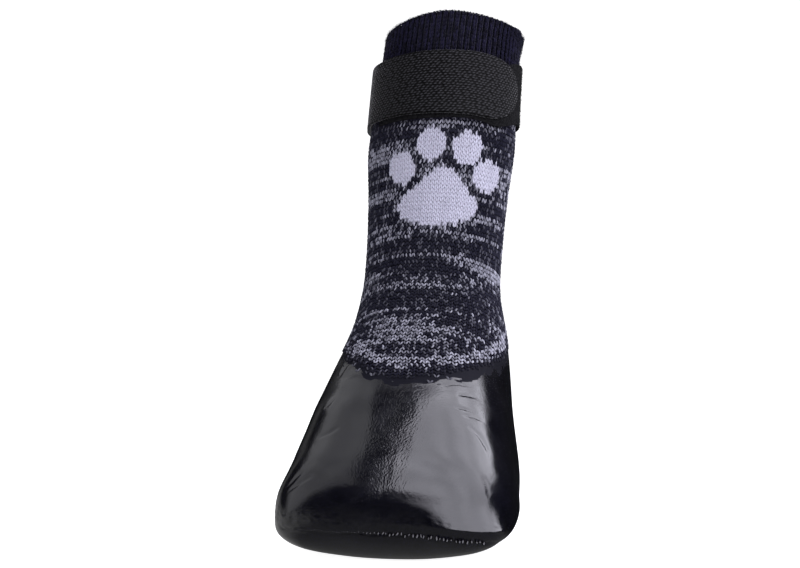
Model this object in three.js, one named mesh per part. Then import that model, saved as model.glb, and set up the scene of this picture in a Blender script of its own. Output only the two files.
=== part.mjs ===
// Dog sock: one knitted tube with a ribbed cuff, a rubber coat dipped over its foot,
// and an ankle strap of two tapes that close with hook and loop.
// Millimetres, +Z up, toe towards -Y. The origin is on the floor, in the middle of the sock's length and width.
import * as THREE from "three";

// Driving sizes of the knitted sock, without its rubber coat.
const FOOT_LENGTH = 116;
const SOCK_HEIGHT = 161.5;
const BALL_WIDTH = 61.8;
const LEG_LEAN = 7.2; // how far the soft leg leans towards +X at its rim
const HEEL_Y = 57.94; // back of the knitted heel

// Walls, and the clearance between two pieces.
const GAP = 0.3;
const KNIT_WALL = 1.6;
const RUBBER_WALL = 1.2;
const SOLE_WALL = 2.0;
const RUBBER_EDGE = 0.5; // the coat thins to this at its top edge

// Ribbed cuff above the strap.
const RIBS = 72;
const RIB_HEIGHT = 0.45;
const RIM_DIP = 2.6; // the rim is this much lower at its sides than in front
const RIM_DIP_END = 1.2; // and the row where the dip has died away
const RIM_DIP_ROUND = 0.3;
const RIM_ROLL = 0.08; // rows from the rim in which its edge rounds over
const RIM_INSET = 0.35; // the rounded edge, in from the outside
const RIM_RIB_HEIGHT = 0.25;

// Top edge of the rubber coat, dipped by hand: angle round the sock in degrees, and height above the floor.
const DIP_EDGE = [
  [-180, 56], [-140, 56.8], [-100, 57], [-70, 56.4], [-44, 55.2], [-28, 52.6], [-14, 49.3], [0, 48.2],
  [14, 48.6], [30, 49.7], [50, 51.3], [62, 52.5], [78, 55], [95, 57.2], [140, 56.6], [180, 56],
];

// Seam across the toe, under the rubber: the coat swells out level towards it from above, and drops away below it.
const SEAM_SWELL = 4; // at its +X end
const SEAM_LEAST = 0.08; // share of that in the middle
const SEAM_GROWS = [10, 22]; // distances from the middle where the swell starts to grow, and is full
const SEAM_UP = 9.45; // height of the seam
const SEAM_BEND = 0.0031; // how much it falls, times the square of the distance towards +X
// Its two ends: share of the swell, distances ahead of the middle where it begins and is full, height above the seam
// where the swell is full, its run above that and how late it comes on, depth below the seam where the drop starts,
// and the drop's run.
const SEAM_RIGHT = { share: 1, front: [42, 52], full: 2.5, run: 7, late: 1.8, under: 0, drop: 8 };
const SEAM_LEFT = { share: 0.475, front: [30, 44], full: -3, run: 16, late: 1.2, under: 3, drop: 6 };
const SEAM_DROP_POWER = 4; // how late the drop comes on

// Strap tapes.
const TAPE_WIDTH = 20;
const TAPE_CHAMFER = 0.25;
const LOOP_STAND_OFF = 0.5;
const LOOP_THICK = 1.0;
const LOOP_DROP = 1.2; // the under tape sits this much lower in front, so its edge shows below the over tape
const LOOP_RISE = 0.8; // and this much higher at the +X side
const LOOP_HANG = 2.3; // it hangs slack where it goes in under the over tape's end,
const LOOP_HANG_AT = 52; // at this angle
const LOOP_HANG_WIDE = 18;
const HOOK_THICK = 1.2;
const STRAP_FLARE = 1.5; // how far the strap's top edge stands off the cuff at the -X side
const STRAP_SAG = 1.5; // how much lower both tapes lie there
const HOOK_PINCH = 0.7; // and what the over tape loses of its half width there, pulled tight
const HOOK_END_DIP = 0.8; // how much lower the over tape's rounded end lies
const HOOK_DIPS = [20, 50]; // angles between which it dips
const TAPE_END_LENGTH = 14.5; // of the over tape's rounded end
const TAPE_END_POWER = 2.1;
const STRAP_RADIUS = 25; // of the over tape round the leg
// Angles round the leg, in degrees from the front over +X, where the tapes start and end.
const LOOP_FROM = -48;
const LOOP_TO = 228;
const HOOK_FROM = -156;
const HOOK_TO = 69;
const HOOK_LEAVES_BACK = [-130, -106]; // the over tape comes down off the under tape
const HOOK_CLIMBS_FRONT = [-78, -54]; // and climbs onto it again

// One row for each section, from the rim to the tip of the toe. A section is an oval in a plane that runs
// from a point on the sock's front to a point on its back, so the planes turn from level in the leg to upright
// in the toe. front and back are shares of FOOT_LENGTH ahead of the heel, frontUp and backUp shares of
// SOCK_HEIGHT, wide the half width as a share of BALL_WIDTH and lean a share of LEG_LEAN. widest is where the
// oval is widest between back and front; boxFront and boxBack are how boxy its halves are: 2 is an ellipse.
const SECTIONS = [
  { at: "rim", front: 0.365, frontUp: 1.0, back: -0.011, backUp: 0.978, wide: 0.361, widest: 0.5, boxFront: 2, boxBack: 2, lean: 1 },
  { at: "cuff", front: 0.371, frontUp: 0.946, back: -0.007, backUp: 0.924, wide: 0.361, widest: 0.5, boxFront: 2, boxBack: 2, lean: 0.86 },
  { at: "strap", front: 0.382, frontUp: 0.851, back: -0.001, backUp: 0.832, wide: 0.368, widest: 0.5, boxFront: 2, boxBack: 2, lean: 0.63 },
  { at: "under strap", front: 0.399, frontUp: 0.749, back: 0.007, backUp: 0.734, wide: 0.386, widest: 0.5, boxFront: 2, boxBack: 2, lean: 0.43 },
  { at: "mid leg", front: 0.409, frontUp: 0.65, back: 0.014, backUp: 0.638, wide: 0.367, widest: 0.5, boxFront: 2, boxBack: 2, lean: 0.288 },
  { at: "lower leg", front: 0.427, frontUp: 0.57, back: 0.016, backUp: 0.526, wide: 0.3545, widest: 0.5, boxFront: 2, boxBack: 2, lean: 0.167 },
  { at: "ankle", front: 0.474, frontUp: 0.495, back: 0.011, backUp: 0.409, wide: 0.354, widest: 0.48, boxFront: 2.05, boxBack: 2, lean: 0.071 },
  { at: "upper instep", front: 0.565, frontUp: 0.424, back: 0, backUp: 0.272, wide: 0.394, widest: 0.44, boxFront: 2.35, boxBack: 2.1, lean: 0.12 },
  { at: "instep", front: 0.659, frontUp: 0.359, back: 0.008, backUp: 0.136, wide: 0.42, widest: 0.4, boxFront: 2.8, boxBack: 2.3, lean: -0.09 },
  { at: "heel back", front: 0.746, frontUp: 0.3, back: 0.091, backUp: 0.025, wide: 0.457, widest: 0.36, boxFront: 3, boxBack: 2.6, lean: -0.08 },
  { at: "heel seat", front: 0.823, frontUp: 0.257, back: 0.297, backUp: 0.004, wide: 0.476, widest: 0.32, boxFront: 2.85, boxBack: 3, lean: -0.07 },
  { at: "waist", front: 0.899, frontUp: 0.207, back: 0.556, backUp: 0.004, wide: 0.494, widest: 0.32, boxFront: 2.6, boxBack: 2.9, lean: 0 },
  { at: "ball", front: 0.957, frontUp: 0.167, back: 0.772, backUp: 0.006, wide: 0.48, widest: 0.34, boxFront: 2.45, boxBack: 2.5, lean: 0 },
  { at: "toe", front: 0.989, frontUp: 0.13, back: 0.914, backUp: 0.016, wide: 0.396, widest: 0.37, boxFront: 2.2, boxBack: 2.2, lean: 0 },
  { at: "tip", front: 0.999, frontUp: 0.102, back: 0.991, backUp: 0.052, wide: 0.22, widest: 0.46, boxFront: 2, boxBack: 2, lean: 0 },
];
const TIP = SECTIONS.length - 1;
const STRAP_TOP = 1.34; // rows that the strap's two edges lie on
const STRAP_BOTTOM = 2.585;
const RIB_END = 1.1; // the ribs stand up from the rim to this row; the strap presses them flat below it
const RIB_RUN_OUT = 0.1;
const LEG_START = 1.35; // first row of the smooth leg

// Facets.
const COLUMNS = 40;
const LEG_ROWS = 12;
const FOOT_ROWS = 20;
const STRAP_STEP = 6; // degrees

// A section between two rows of the table, smooth through all of them.
function sectionAt(s) {
  const i = Math.min(Math.floor(s), TIP - 1);
  const t = s - i;
  const row = (k) => SECTIONS[THREE.MathUtils.clamp(k, 0, TIP)];
  const section = {};
  for (const column of ["front", "frontUp", "back", "backUp", "wide", "widest", "boxFront", "boxBack", "lean"]) {
    const [p0, p1, p2, p3] = [i - 1, i, i + 1, i + 2].map((k) => row(k)[column]);
    const v1 = (p2 - p0) / 2;
    const v2 = (p3 - p1) / 2;
    section[column] = p1 + t * (v1 + t * (3 * (p2 - p1) - 2 * v1 - v2 + t * (2 * (p1 - p2) + v1 + v2)));
  }
  return section;
}

// A point of the knitted sock's outside: row s, angle a from the front (0) over +X (90 degrees) to the back.
function skinPoint(s, a) {
  const c = sectionAt(s);
  const across = Math.sin(a);
  const ahead = Math.cos(a);
  const power = ahead >= 0 ? c.boxFront : c.boxBack;
  const reach = (Math.abs(across) ** power + Math.abs(ahead) ** power) ** (-1 / power);
  const t = c.widest + reach * ahead * (ahead >= 0 ? 1 - c.widest : c.widest);
  const dip = (Math.hypot(across, RIM_DIP_ROUND) - RIM_DIP_ROUND) / (Math.hypot(1, RIM_DIP_ROUND) - RIM_DIP_ROUND);
  const dipFade = Math.max(0, 1 - s / RIM_DIP_END) ** 2;
  return new THREE.Vector3(
    LEG_LEAN * c.lean + BALL_WIDTH * c.wide * reach * across,
    HEEL_Y - FOOT_LENGTH * (c.back + t * (c.front - c.back)),
    SOCK_HEIGHT * (c.backUp + t * (c.frontUp - c.backUp)) - RIM_DIP * dip * dipFade,
  );
}

// Directions down the sock, round it and out of it at a point of the skin.
function skinFrame(s, a) {
  const e = 1e-3;
  const down = skinPoint(Math.min(s + e, TIP), a).sub(skinPoint(Math.max(s - e, 0), a)).normalize();
  const round = skinPoint(s, a + e).sub(skinPoint(s, a - e)).normalize();
  const out = new THREE.Vector3().crossVectors(down, round).normalize();
  return { down, round, out };
}

// The skin moved out by a distance, and kept above a height.
function offsetSkin(s, a, distance, lowest) {
  const p = skinPoint(s, a).addScaledVector(skinFrame(s, a).out, distance);
  p.z = Math.max(p.z, lowest);
  return p;
}

// The point that closes the toe.
function toePoint(distance) {
  const front = skinPoint(TIP, 0);
  const back = skinPoint(TIP, Math.PI);
  return front.lerp(back, 0.5).add(new THREE.Vector3(0, -distance - 0.4, 0));
}

function ring(count, point) {
  return Array.from({ length: count }, (_, k) => point(((k / count) * 2 - 1) * Math.PI));
}

// Height of the rubber's top edge at angle a, and the row where the edge crosses that line.
function dipHeight(a) {
  const degrees = THREE.MathUtils.radToDeg(Math.atan2(Math.sin(a), Math.cos(a)));
  const k = Math.max(1, DIP_EDGE.findIndex(([angle]) => angle >= degrees));
  const [from, low] = DIP_EDGE[k - 1];
  const [to, high] = DIP_EDGE[k];
  return low + (high - low) * THREE.MathUtils.smoothstep(degrees, from, to);
}

function dipRow(a) {
  const edge = dipHeight(a);
  let low = 4;
  let high = 11;
  for (let k = 0; k < 24; k++) {
    const s = (low + high) / 2;
    if (skinPoint(s, a).z > edge) low = s;
    else high = s;
  }
  return (low + high) / 2;
}

// Rows of the foot run from the rubber's edge to the toe, the same for every layer, so the layers nest.
function footRow(k, a) {
  const s = dipRow(a);
  return s + (TIP - s) * (k / FOOT_ROWS);
}

// How far the rubber swells out over the toe seam at a point of the skin.
function seamSwell(p) {
  const { share, front, full, run, late, under, drop } = p.x > 0 ? SEAM_RIGHT : SEAM_LEFT;
  const off = p.z - SEAM_UP + SEAM_BEND * Math.max(0, p.x) ** 2;
  const above = THREE.MathUtils.clamp(1 - (off - full) / run, 0, 1) ** late;
  const below = THREE.MathUtils.clamp((-off - under) / drop, 0, 1) ** SEAM_DROP_POWER;
  const end = THREE.MathUtils.smoothstep(Math.abs(p.x), ...SEAM_GROWS);
  const along = THREE.MathUtils.smoothstep(-p.y, ...front);
  return SEAM_SWELL * THREE.MathUtils.lerp(SEAM_LEAST, share, end) * along * above * (1 - below);
}

// One closed solid through a list of rings; a ring of one point closes an end. Rings may differ in count.
function ringSolid(name, rings, material) {
  const corners = [];
  const triangle = (...points) => points.forEach((p) => corners.push(p.x, p.y, p.z));
  for (let r = 0; r + 1 < rings.length; r++) {
    const lower = rings[r];
    const upper = rings[r + 1];
    let i = 0;
    let j = 0;
    while (i < lower.length || j < upper.length) {
      const here = lower[i % lower.length];
      const there = upper[j % upper.length];
      if ((i + 1) / lower.length <= (j + 1) / upper.length) {
        i += 1;
        if (lower.length > 1) triangle(here, lower[i % lower.length], there);
      } else {
        j += 1;
        if (upper.length > 1) triangle(here, upper[j % upper.length], there);
      }
    }
  }
  const geometry = new THREE.BufferGeometry();
  geometry.setAttribute("position", new THREE.Float32BufferAttribute(corners, 3));
  geometry.computeVertexNormals();
  const mesh = new THREE.Mesh(geometry, material);
  mesh.name = name;
  return mesh;
}

// The knitted sock: up the outside from the toe, over the rim, and down the inside to the toe.
function knitSock(material) {
  const bottom = SOLE_WALL + GAP;
  const legRow = (k, a) => LEG_START + (dipRow(a) - LEG_START) * (k / LEG_ROWS);
  const layer = (distance, lowest) => {
    const rings = [[toePoint(distance)]];
    for (let k = FOOT_ROWS; k >= 0; k--)
      rings.push(ring(COLUMNS, (a) => offsetSkin(footRow(k, a), a, distance, lowest)));
    for (let k = LEG_ROWS - 1; k >= 0; k--)
      rings.push(ring(COLUMNS, (a) => offsetSkin(legRow(k, a), a, distance, lowest)));
    return rings;
  };
  const ribRing = (s, height) => ring(2 * RIBS, (a) => offsetSkin(s, a, height * Math.cos(RIBS * a), 0));
  const outside = layer(0, bottom);
  const inside = layer(-KNIT_WALL, bottom + KNIT_WALL);
  const cuff = [
    ribRing(RIB_END + RIB_RUN_OUT, RIB_HEIGHT * 0.6),
    ribRing(RIB_END - RIB_RUN_OUT, RIB_HEIGHT),
    ribRing(RIB_END / 2, RIB_HEIGHT),
    ribRing(RIM_ROLL, RIB_HEIGHT),
    ring(2 * RIBS, (a) => offsetSkin(0, a, RIM_RIB_HEIGHT * Math.cos(RIBS * a) - RIM_INSET, 0)),
    ring(COLUMNS, (a) => offsetSkin(0, a, RIM_INSET - KNIT_WALL, 0)),
    ring(COLUMNS, (a) => offsetSkin(RIM_ROLL, a, -KNIT_WALL, 0)),
    ring(COLUMNS, (a) => offsetSkin(RIB_END / 2, a, -KNIT_WALL, 0)),
  ];
  return ringSolid("knit_sock", [...outside, ...cuff, ...inside.reverse()], material);
}

// The rubber coat: a cup round the foot, thin at its top edge and thickest under the sole.
function rubberDip(material) {
  const wall = (k) => RUBBER_EDGE + (RUBBER_WALL - RUBBER_EDGE) * Math.min(1, k / 2);
  const outside = [[toePoint(GAP + RUBBER_WALL + seamSwell(toePoint(0)))]];
  const inside = [[toePoint(GAP)]];
  for (let k = FOOT_ROWS; k >= 0; k--) {
    outside.push(
      ring(COLUMNS, (a) => {
        const s = footRow(k, a);
        const level = skinFrame(s, a).out.setZ(0).normalize();
        return offsetSkin(s, a, GAP + wall(k), 0).addScaledVector(level, seamSwell(skinPoint(s, a)));
      }),
    );
    inside.push(ring(COLUMNS, (a) => offsetSkin(footRow(k, a), a, GAP, SOLE_WALL)));
  }
  return ringSolid("rubber_dip", [...outside, ...inside.reverse()], material);
}

// A tape that lies round the leg. Each station has an angle in degrees, a half width, a stand-off from the leg and
// a drop below the strap's middle.
function tape(name, thick, stations, material) {
  const half = thick / 2;
  const c = TAPE_CHAMFER;
  const rings = stations.map(({ angle, halfWidth, standOff, drop }) => {
    const a = THREE.MathUtils.degToRad(angle);
    const flare = STRAP_FLARE * Math.max(0, -Math.sin(a));
    const top = skinPoint(STRAP_TOP, a).addScaledVector(skinFrame(STRAP_TOP, a).out, flare);
    const bottom = skinPoint(STRAP_BOTTOM, a);
    const { round } = skinFrame((STRAP_TOP + STRAP_BOTTOM) / 2, a);
    const down = bottom.clone().sub(top).normalize();
    const out = new THREE.Vector3().crossVectors(down, round).normalize();
    const centre = top.lerp(bottom, 0.5).addScaledVector(out, standOff + half).addScaledVector(down, drop);
    const h = Math.max(halfWidth, 2 * c);
    const outline = [
      [h - c, half], [h, half - c], [h, c - half], [h - c, -half],
      [c - h, -half], [-h, c - half], [-h, half - c], [c - h, half],
    ];
    return outline.map(([v, u]) => centre.clone().addScaledVector(down, v).addScaledVector(out, u));
  });
  const middle = (points) => [points.reduce((sum, p) => sum.add(p), new THREE.Vector3()).divideScalar(points.length)];
  return ringSolid(name, [middle(rings[0]), ...rings, middle(rings[rings.length - 1])], material);
}

// How much of the strap's sag and pinch at the -X side is felt at angle a.
function atLeft(a) {
  return Math.max(0, -Math.sin(a)) ** 2;
}

// The under tape, pile out: from under the front of the over tape, round the +X side and the back.
function loopBand(material) {
  const stations = [];
  for (let angle = LOOP_FROM; angle <= LOOP_TO; angle += STRAP_STEP) {
    const a = THREE.MathUtils.degToRad(angle);
    const hang = LOOP_HANG * Math.exp(-(((angle - LOOP_HANG_AT) / LOOP_HANG_WIDE) ** 2));
    const drop = LOOP_DROP * Math.cos(a) - LOOP_RISE * Math.max(0, Math.sin(a)) + STRAP_SAG * atLeft(a) + hang;
    stations.push({ angle, halfWidth: TAPE_WIDTH / 2, standOff: LOOP_STAND_OFF, drop });
  }
  return tape("strap_loop_band", LOOP_THICK, stations, material);
}

// The over tape lies on the leg at the -X side, and climbs over the under tape at the back and in front.
function hookStandOff(angle) {
  const onBack = 1 - THREE.MathUtils.smoothstep(angle, ...HOOK_LEAVES_BACK);
  const onFront = THREE.MathUtils.smoothstep(angle, ...HOOK_CLIMBS_FRONT);
  return LOOP_STAND_OFF + (LOOP_THICK + GAP) * Math.max(onBack, onFront);
}

// The over tape: sewn over the under tape at the back, round the -X side and the front to a rounded end.
function hookTape(material) {
  const half = TAPE_WIDTH / 2;
  const endReach = THREE.MathUtils.radToDeg(TAPE_END_LENGTH / STRAP_RADIUS);
  const stations = [];
  const add = (angle, most) => {
    const left = atLeft(THREE.MathUtils.degToRad(angle));
    const drop = STRAP_SAG * left + HOOK_END_DIP * THREE.MathUtils.smoothstep(angle, ...HOOK_DIPS);
    stations.push({ angle, halfWidth: most - HOOK_PINCH * left, standOff: hookStandOff(angle), drop });
  };
  for (let angle = HOOK_FROM; angle < HOOK_TO - endReach; angle += STRAP_STEP) add(angle, half);
  for (const back of [1, 0.8, 0.6, 0.42, 0.27, 0.15, 0.06, 0.015])
    add(HOOK_TO - back * endReach, half * (1 - (1 - back) ** TAPE_END_POWER) ** (1 / TAPE_END_POWER));
  return tape("strap_hook_tape", HOOK_THICK, stations, material);
}

const knitMarl = new THREE.MeshStandardMaterial({ name: "knit_marl", color: 0x2a2b3d, roughness: 0.95 });
const dippedRubber = new THREE.MeshStandardMaterial({ name: "dipped_rubber", color: 0x0d0d11, roughness: 0.3 });
const loopTape = new THREE.MeshStandardMaterial({ name: "loop_tape", color: 0x1c1c1f, roughness: 0.95 });
const hookTapeCloth = new THREE.MeshStandardMaterial({ name: "hook_tape", color: 0x2b2b2d, roughness: 0.8 });

const sock = new THREE.Group();
sock.name = "dog_sock";
sock.add(knitSock(knitMarl), rubberDip(dippedRubber), loopBand(loopTape), hookTape(hookTapeCloth));

export default sock;
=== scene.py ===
import math
import bpy
import numpy as np
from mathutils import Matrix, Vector


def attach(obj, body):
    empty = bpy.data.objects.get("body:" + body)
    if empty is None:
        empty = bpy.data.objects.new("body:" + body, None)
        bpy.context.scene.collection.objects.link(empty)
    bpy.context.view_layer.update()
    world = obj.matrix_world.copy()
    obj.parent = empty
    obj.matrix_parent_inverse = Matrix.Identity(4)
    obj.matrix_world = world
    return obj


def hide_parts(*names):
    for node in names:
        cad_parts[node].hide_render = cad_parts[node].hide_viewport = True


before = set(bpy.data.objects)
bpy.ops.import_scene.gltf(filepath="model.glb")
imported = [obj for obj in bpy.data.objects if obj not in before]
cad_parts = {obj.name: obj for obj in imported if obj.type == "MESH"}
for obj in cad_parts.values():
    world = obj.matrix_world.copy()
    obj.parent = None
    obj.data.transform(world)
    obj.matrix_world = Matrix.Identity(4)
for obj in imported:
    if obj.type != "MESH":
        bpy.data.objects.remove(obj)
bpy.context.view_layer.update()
bpy.ops.object.select_all(action="DESELECT")

# The studio
# A pale floor that sweeps up into a pale wall, and the camera low in front of the toe, a little to the
# right. Two wide soft boxes hang overhead with a dark gap between them; the right one is the brighter.
LEG_Y = 0.0334
CAMERA_SWING = math.radians(8.2)
CAMERA_REACH = 0.400
CAMERA_UP = 0.060
AIM_RISE = 0.0158
AIM_LEFT = 0.0105
LENS_MM = 54.8
SENSOR_MM = 36
right_hand = Vector((math.cos(CAMERA_SWING), math.sin(CAMERA_SWING), 0))
towards_viewer = Vector((math.sin(CAMERA_SWING), -math.cos(CAMERA_SWING), 0))
stand = towards_viewer * CAMERA_REACH + Vector((0, LEG_Y, CAMERA_UP))
aim = Vector((0, LEG_Y, CAMERA_UP + AIM_RISE)) - right_hand * AIM_LEFT
bpy.ops.object.camera_add(location=stand, rotation=(aim - stand).to_track_quat("-Z", "Y").to_euler())
camera = bpy.context.object
camera.data.lens = LENS_MM
camera.data.sensor_width = SENSOR_MM
camera.data.clip_start = 0.01
bpy.context.scene.camera = camera
bpy.context.scene.view_settings.view_transform = "Standard"

FLOOR_SIZE = 6
FLOOR_BACK = 0.4
WALL_HEIGHT = 3
SWEEP_RADIUS = 1.2
BEHIND = 3
bpy.ops.mesh.primitive_plane_add(size=FLOOR_SIZE, location=(0, FLOOR_BACK, 0))
floor = bpy.context.object
floor.name = "studio_floor"
bpy.ops.object.transform_apply(location=True, rotation=False, scale=False)
bpy.ops.object.mode_set(mode="EDIT")
bpy.ops.mesh.select_all(action="DESELECT")
bpy.ops.object.mode_set(mode="OBJECT")
for edge in floor.data.edges:
    edge.select = all(floor.data.vertices[v].co.y > BEHIND for v in edge.vertices)
for vertex in floor.data.vertices:
    vertex.select = vertex.co.y > BEHIND
bpy.ops.object.mode_set(mode="EDIT")
bpy.ops.mesh.extrude_region_move(TRANSFORM_OT_translate={"value": (0, 0, WALL_HEIGHT)})
bpy.ops.object.mode_set(mode="OBJECT")
for vertex in floor.data.vertices:
    vertex.select = vertex.co.y > BEHIND and vertex.co.z < WALL_HEIGHT / 2
for edge in floor.data.edges:
    edge.select = all(floor.data.vertices[v].select for v in edge.vertices)
bpy.ops.object.mode_set(mode="EDIT")
bpy.ops.mesh.bevel(offset=SWEEP_RADIUS, segments=16, affect="EDGES")
bpy.ops.object.mode_set(mode="OBJECT")
bpy.ops.object.shade_smooth()


def new_finish(name):
    """A new material, with its node tree and its shader."""
    material = bpy.data.materials.new(name)
    material.use_nodes = True
    return material, material.node_tree, material.node_tree.nodes["Principled BSDF"]


def set_values(node, values):
    """Sets plain values on a node's sockets."""
    for socket, value in values.items():
        node.inputs[socket].default_value = value


# What the rubber mirrors of the floor: which way it lies, where its glow begins and is full, and how strong
# it is there. The last one glows only near the sock.
FLOOR_DARK = 0.006
FLOOR_GLOWS = [
    ((-0.98, 0.10, 0), 0.55, 0.85, 0.34),
    ((-0.88, -0.47, 0), 0.74, 0.95, 0.38),
    ((0.10, -0.99, 0), 0.40, 0.90, None),
]
NEAR_GLOW = 0.13
NEAR_FROM = 0.07
NEAR_TO = 0.17
floor_paint, tree, paint = new_finish("studio_floor")
set_values(paint, {"Base Color": (0.88, 0.88, 0.89, 1), "Roughness": 0.9, "Specular IOR Level": 0.1,
                   "Emission Color": (1, 1, 1, 1)})
path = tree.nodes.new("ShaderNodeLightPath")
glow = tree.nodes.new("ShaderNodeMapRange")
set_values(glow, {"To Min": 0.30, "To Max": 0.96})
tree.links.new(path.outputs["Is Camera Ray"], glow.inputs["Value"])
tree.links.new(glow.outputs["Result"], paint.inputs["Emission Strength"])
shade = tree.nodes.new("ShaderNodeEmission")
place = tree.nodes.new("ShaderNodeTexCoord")
heading = tree.nodes.new("ShaderNodeVectorMath")
heading.operation = "NORMALIZE"
tree.links.new(place.outputs["Object"], heading.inputs[0])
far = tree.nodes.new("ShaderNodeVectorMath")
far.operation = "LENGTH"
tree.links.new(place.outputs["Object"], far.inputs[0])
near_sock = tree.nodes.new("ShaderNodeMapRange")
near_sock.interpolation_type = "SMOOTHSTEP"
set_values(near_sock, {"From Min": NEAR_FROM, "From Max": NEAR_TO, "To Min": NEAR_GLOW,
                       "To Max": FLOOR_DARK})
tree.links.new(far.outputs["Value"], near_sock.inputs["Value"])
lit = None
for way, begins, full, most in FLOOR_GLOWS:
    towards = tree.nodes.new("ShaderNodeVectorMath")
    towards.operation = "DOT_PRODUCT"
    towards.inputs[1].default_value = way
    tree.links.new(heading.outputs["Vector"], towards.inputs[0])
    side = tree.nodes.new("ShaderNodeMapRange")
    side.interpolation_type = "SMOOTHSTEP"
    set_values(side, {"From Min": begins, "From Max": full, "To Min": FLOOR_DARK})
    if most is None:
        tree.links.new(near_sock.outputs["Result"], side.inputs["To Max"])
    else:
        side.inputs["To Max"].default_value = most
    tree.links.new(towards.outputs["Value"], side.inputs["Value"])
    brighter = tree.nodes.new("ShaderNodeMath")
    brighter.operation = "MAXIMUM"
    brighter.inputs[1].default_value = 0.0
    tree.links.new(side.outputs["Result"], brighter.inputs[0])
    if lit:
        tree.links.new(lit, brighter.inputs[1])
    lit = brighter.outputs["Value"]
tree.links.new(lit, shade.inputs["Strength"])
mirrored = tree.nodes.new("ShaderNodeMixShader")
tree.links.new(path.outputs["Is Glossy Ray"], mirrored.inputs["Fac"])
tree.links.new(paint.outputs["BSDF"], mirrored.inputs[1])
tree.links.new(shade.outputs["Emission"], mirrored.inputs[2])
tree.links.new(mirrored.outputs["Shader"], tree.nodes["Material Output"].inputs["Surface"])
floor.data.materials.append(floor_paint)

world = bpy.data.worlds.new("studio_air")
world.use_nodes = True
bpy.context.scene.world = world
tree = world.node_tree
dim = tree.nodes["Background"]
set_values(dim, {"Color": (0.95, 0.97, 1.0, 1), "Strength": 0.015})
soft = tree.nodes.new("ShaderNodeBackground")
soft.inputs["Strength"].default_value = 0.26
bright = tree.nodes.new("ShaderNodeBackground")
bright.inputs["Strength"].default_value = 1.0
path = tree.nodes.new("ShaderNodeLightPath")
mirrored = tree.nodes.new("ShaderNodeMixShader")
tree.links.new(path.outputs["Is Glossy Ray"], mirrored.inputs["Fac"])
tree.links.new(soft.outputs["Background"], mirrored.inputs[1])
tree.links.new(dim.outputs["Background"], mirrored.inputs[2])
seen = tree.nodes.new("ShaderNodeMixShader")
tree.links.new(path.outputs["Is Camera Ray"], seen.inputs["Fac"])
tree.links.new(mirrored.outputs["Shader"], seen.inputs[1])
tree.links.new(bright.outputs["Background"], seen.inputs[2])
tree.links.new(seen.outputs["Shader"], tree.nodes["World Output"].inputs["Surface"])


def effect_group(name, inputs, outputs):
    """A new shader node group with named sockets, and the sockets that its own nodes link to."""
    group = bpy.data.node_groups.new(name, "ShaderNodeTree")
    for way, sockets in (("INPUT", inputs), ("OUTPUT", outputs)):
        for label, kind in sockets:
            group.interface.new_socket(label, in_out=way, socket_type="NodeSocket" + kind)
    return group, group.nodes.new("NodeGroupInput").outputs, group.nodes.new("NodeGroupOutput").inputs


def use_group(tree, group, place, values):
    """Places a node group in a material, read at a place on the surface, with its own values."""
    node = tree.nodes.new("ShaderNodeGroup")
    node.node_tree = group
    set_values(node, values)
    tree.links.new(place, node.inputs["Place"])
    return node


# Grain: specks lighter and darker than a colour, and the height of the same specks. It is the unevenness of
# the soft boxes, the fibre of every yarn, the pebble of the rubber and the roughness of the strap's weave.
grain, given, made = effect_group(
    "grain", [("Place", "Vector"), ("Scale", "Float"), ("Detail", "Float"), ("Darkest", "Float"),
              ("Lightest", "Float"), ("Colour", "Color")],
    [("Colour", "Color"), ("Height", "Float")])
specks = grain.nodes.new("ShaderNodeTexNoise")
for label, socket in (("Place", "Vector"), ("Scale", "Scale"), ("Detail", "Detail")):
    grain.links.new(given[label], specks.inputs[socket])
shade_by = grain.nodes.new("ShaderNodeMapRange")
set_values(shade_by, {"From Min": 0.3, "From Max": 0.7})
grain.links.new(specks.outputs["Fac"], shade_by.inputs["Value"])
grain.links.new(given["Darkest"], shade_by.inputs["To Min"])
grain.links.new(given["Lightest"], shade_by.inputs["To Max"])
specked = grain.nodes.new("ShaderNodeMix")
specked.data_type = "RGBA"
specked.blend_type = "MULTIPLY"
specked.inputs["Factor"].default_value = 1.0
grain.links.new(given["Colour"], specked.inputs["A"])
grain.links.new(shade_by.outputs["Result"], specked.inputs["B"])
grain.links.new(specked.outputs["Result"], made["Colour"])
grain.links.new(specks.outputs["Fac"], made["Height"])

# Each soft box is one flat panel that leans like a roof. In the table: its corners seen from above, the
# height of its plane over the sock's middle, how much that falls for each metre to the right, its tint and
# its brightness.
SOFT_BOXES = [
    ("right_box",
     [(-0.19, -1.40), (-0.10, -0.55), (-0.06, -0.16), (-0.03, -0.03), (0.00, 0.16), (0.04, 0.22),
      (0.12, 0.26), (0.27, 0.40), (0.38, 0.64), (0.50, 0.80), (0.64, 0.82), (0.70, 0.45),
      (0.77, 0.15), (1.30, 0.15), (1.30, -1.20), (0.48, -1.40)],
     0.60, 0.38, (0.95, 0.94, 1.05, 1), 2.5),
    ("left_box",
     [(-0.14, 0.35), (-0.14, 0.00), (-0.17, -0.08), (-0.23, -0.32), (-0.29, -0.70), (-0.36, -0.56),
      (-0.50, -0.44), (-1.42, -0.42), (-1.42, 0.05), (-0.58, 0.30), (-0.58, 0.60)],
     0.66, -0.45, (1.0, 1.0, 1.05, 1), 0.50),
]
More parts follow.
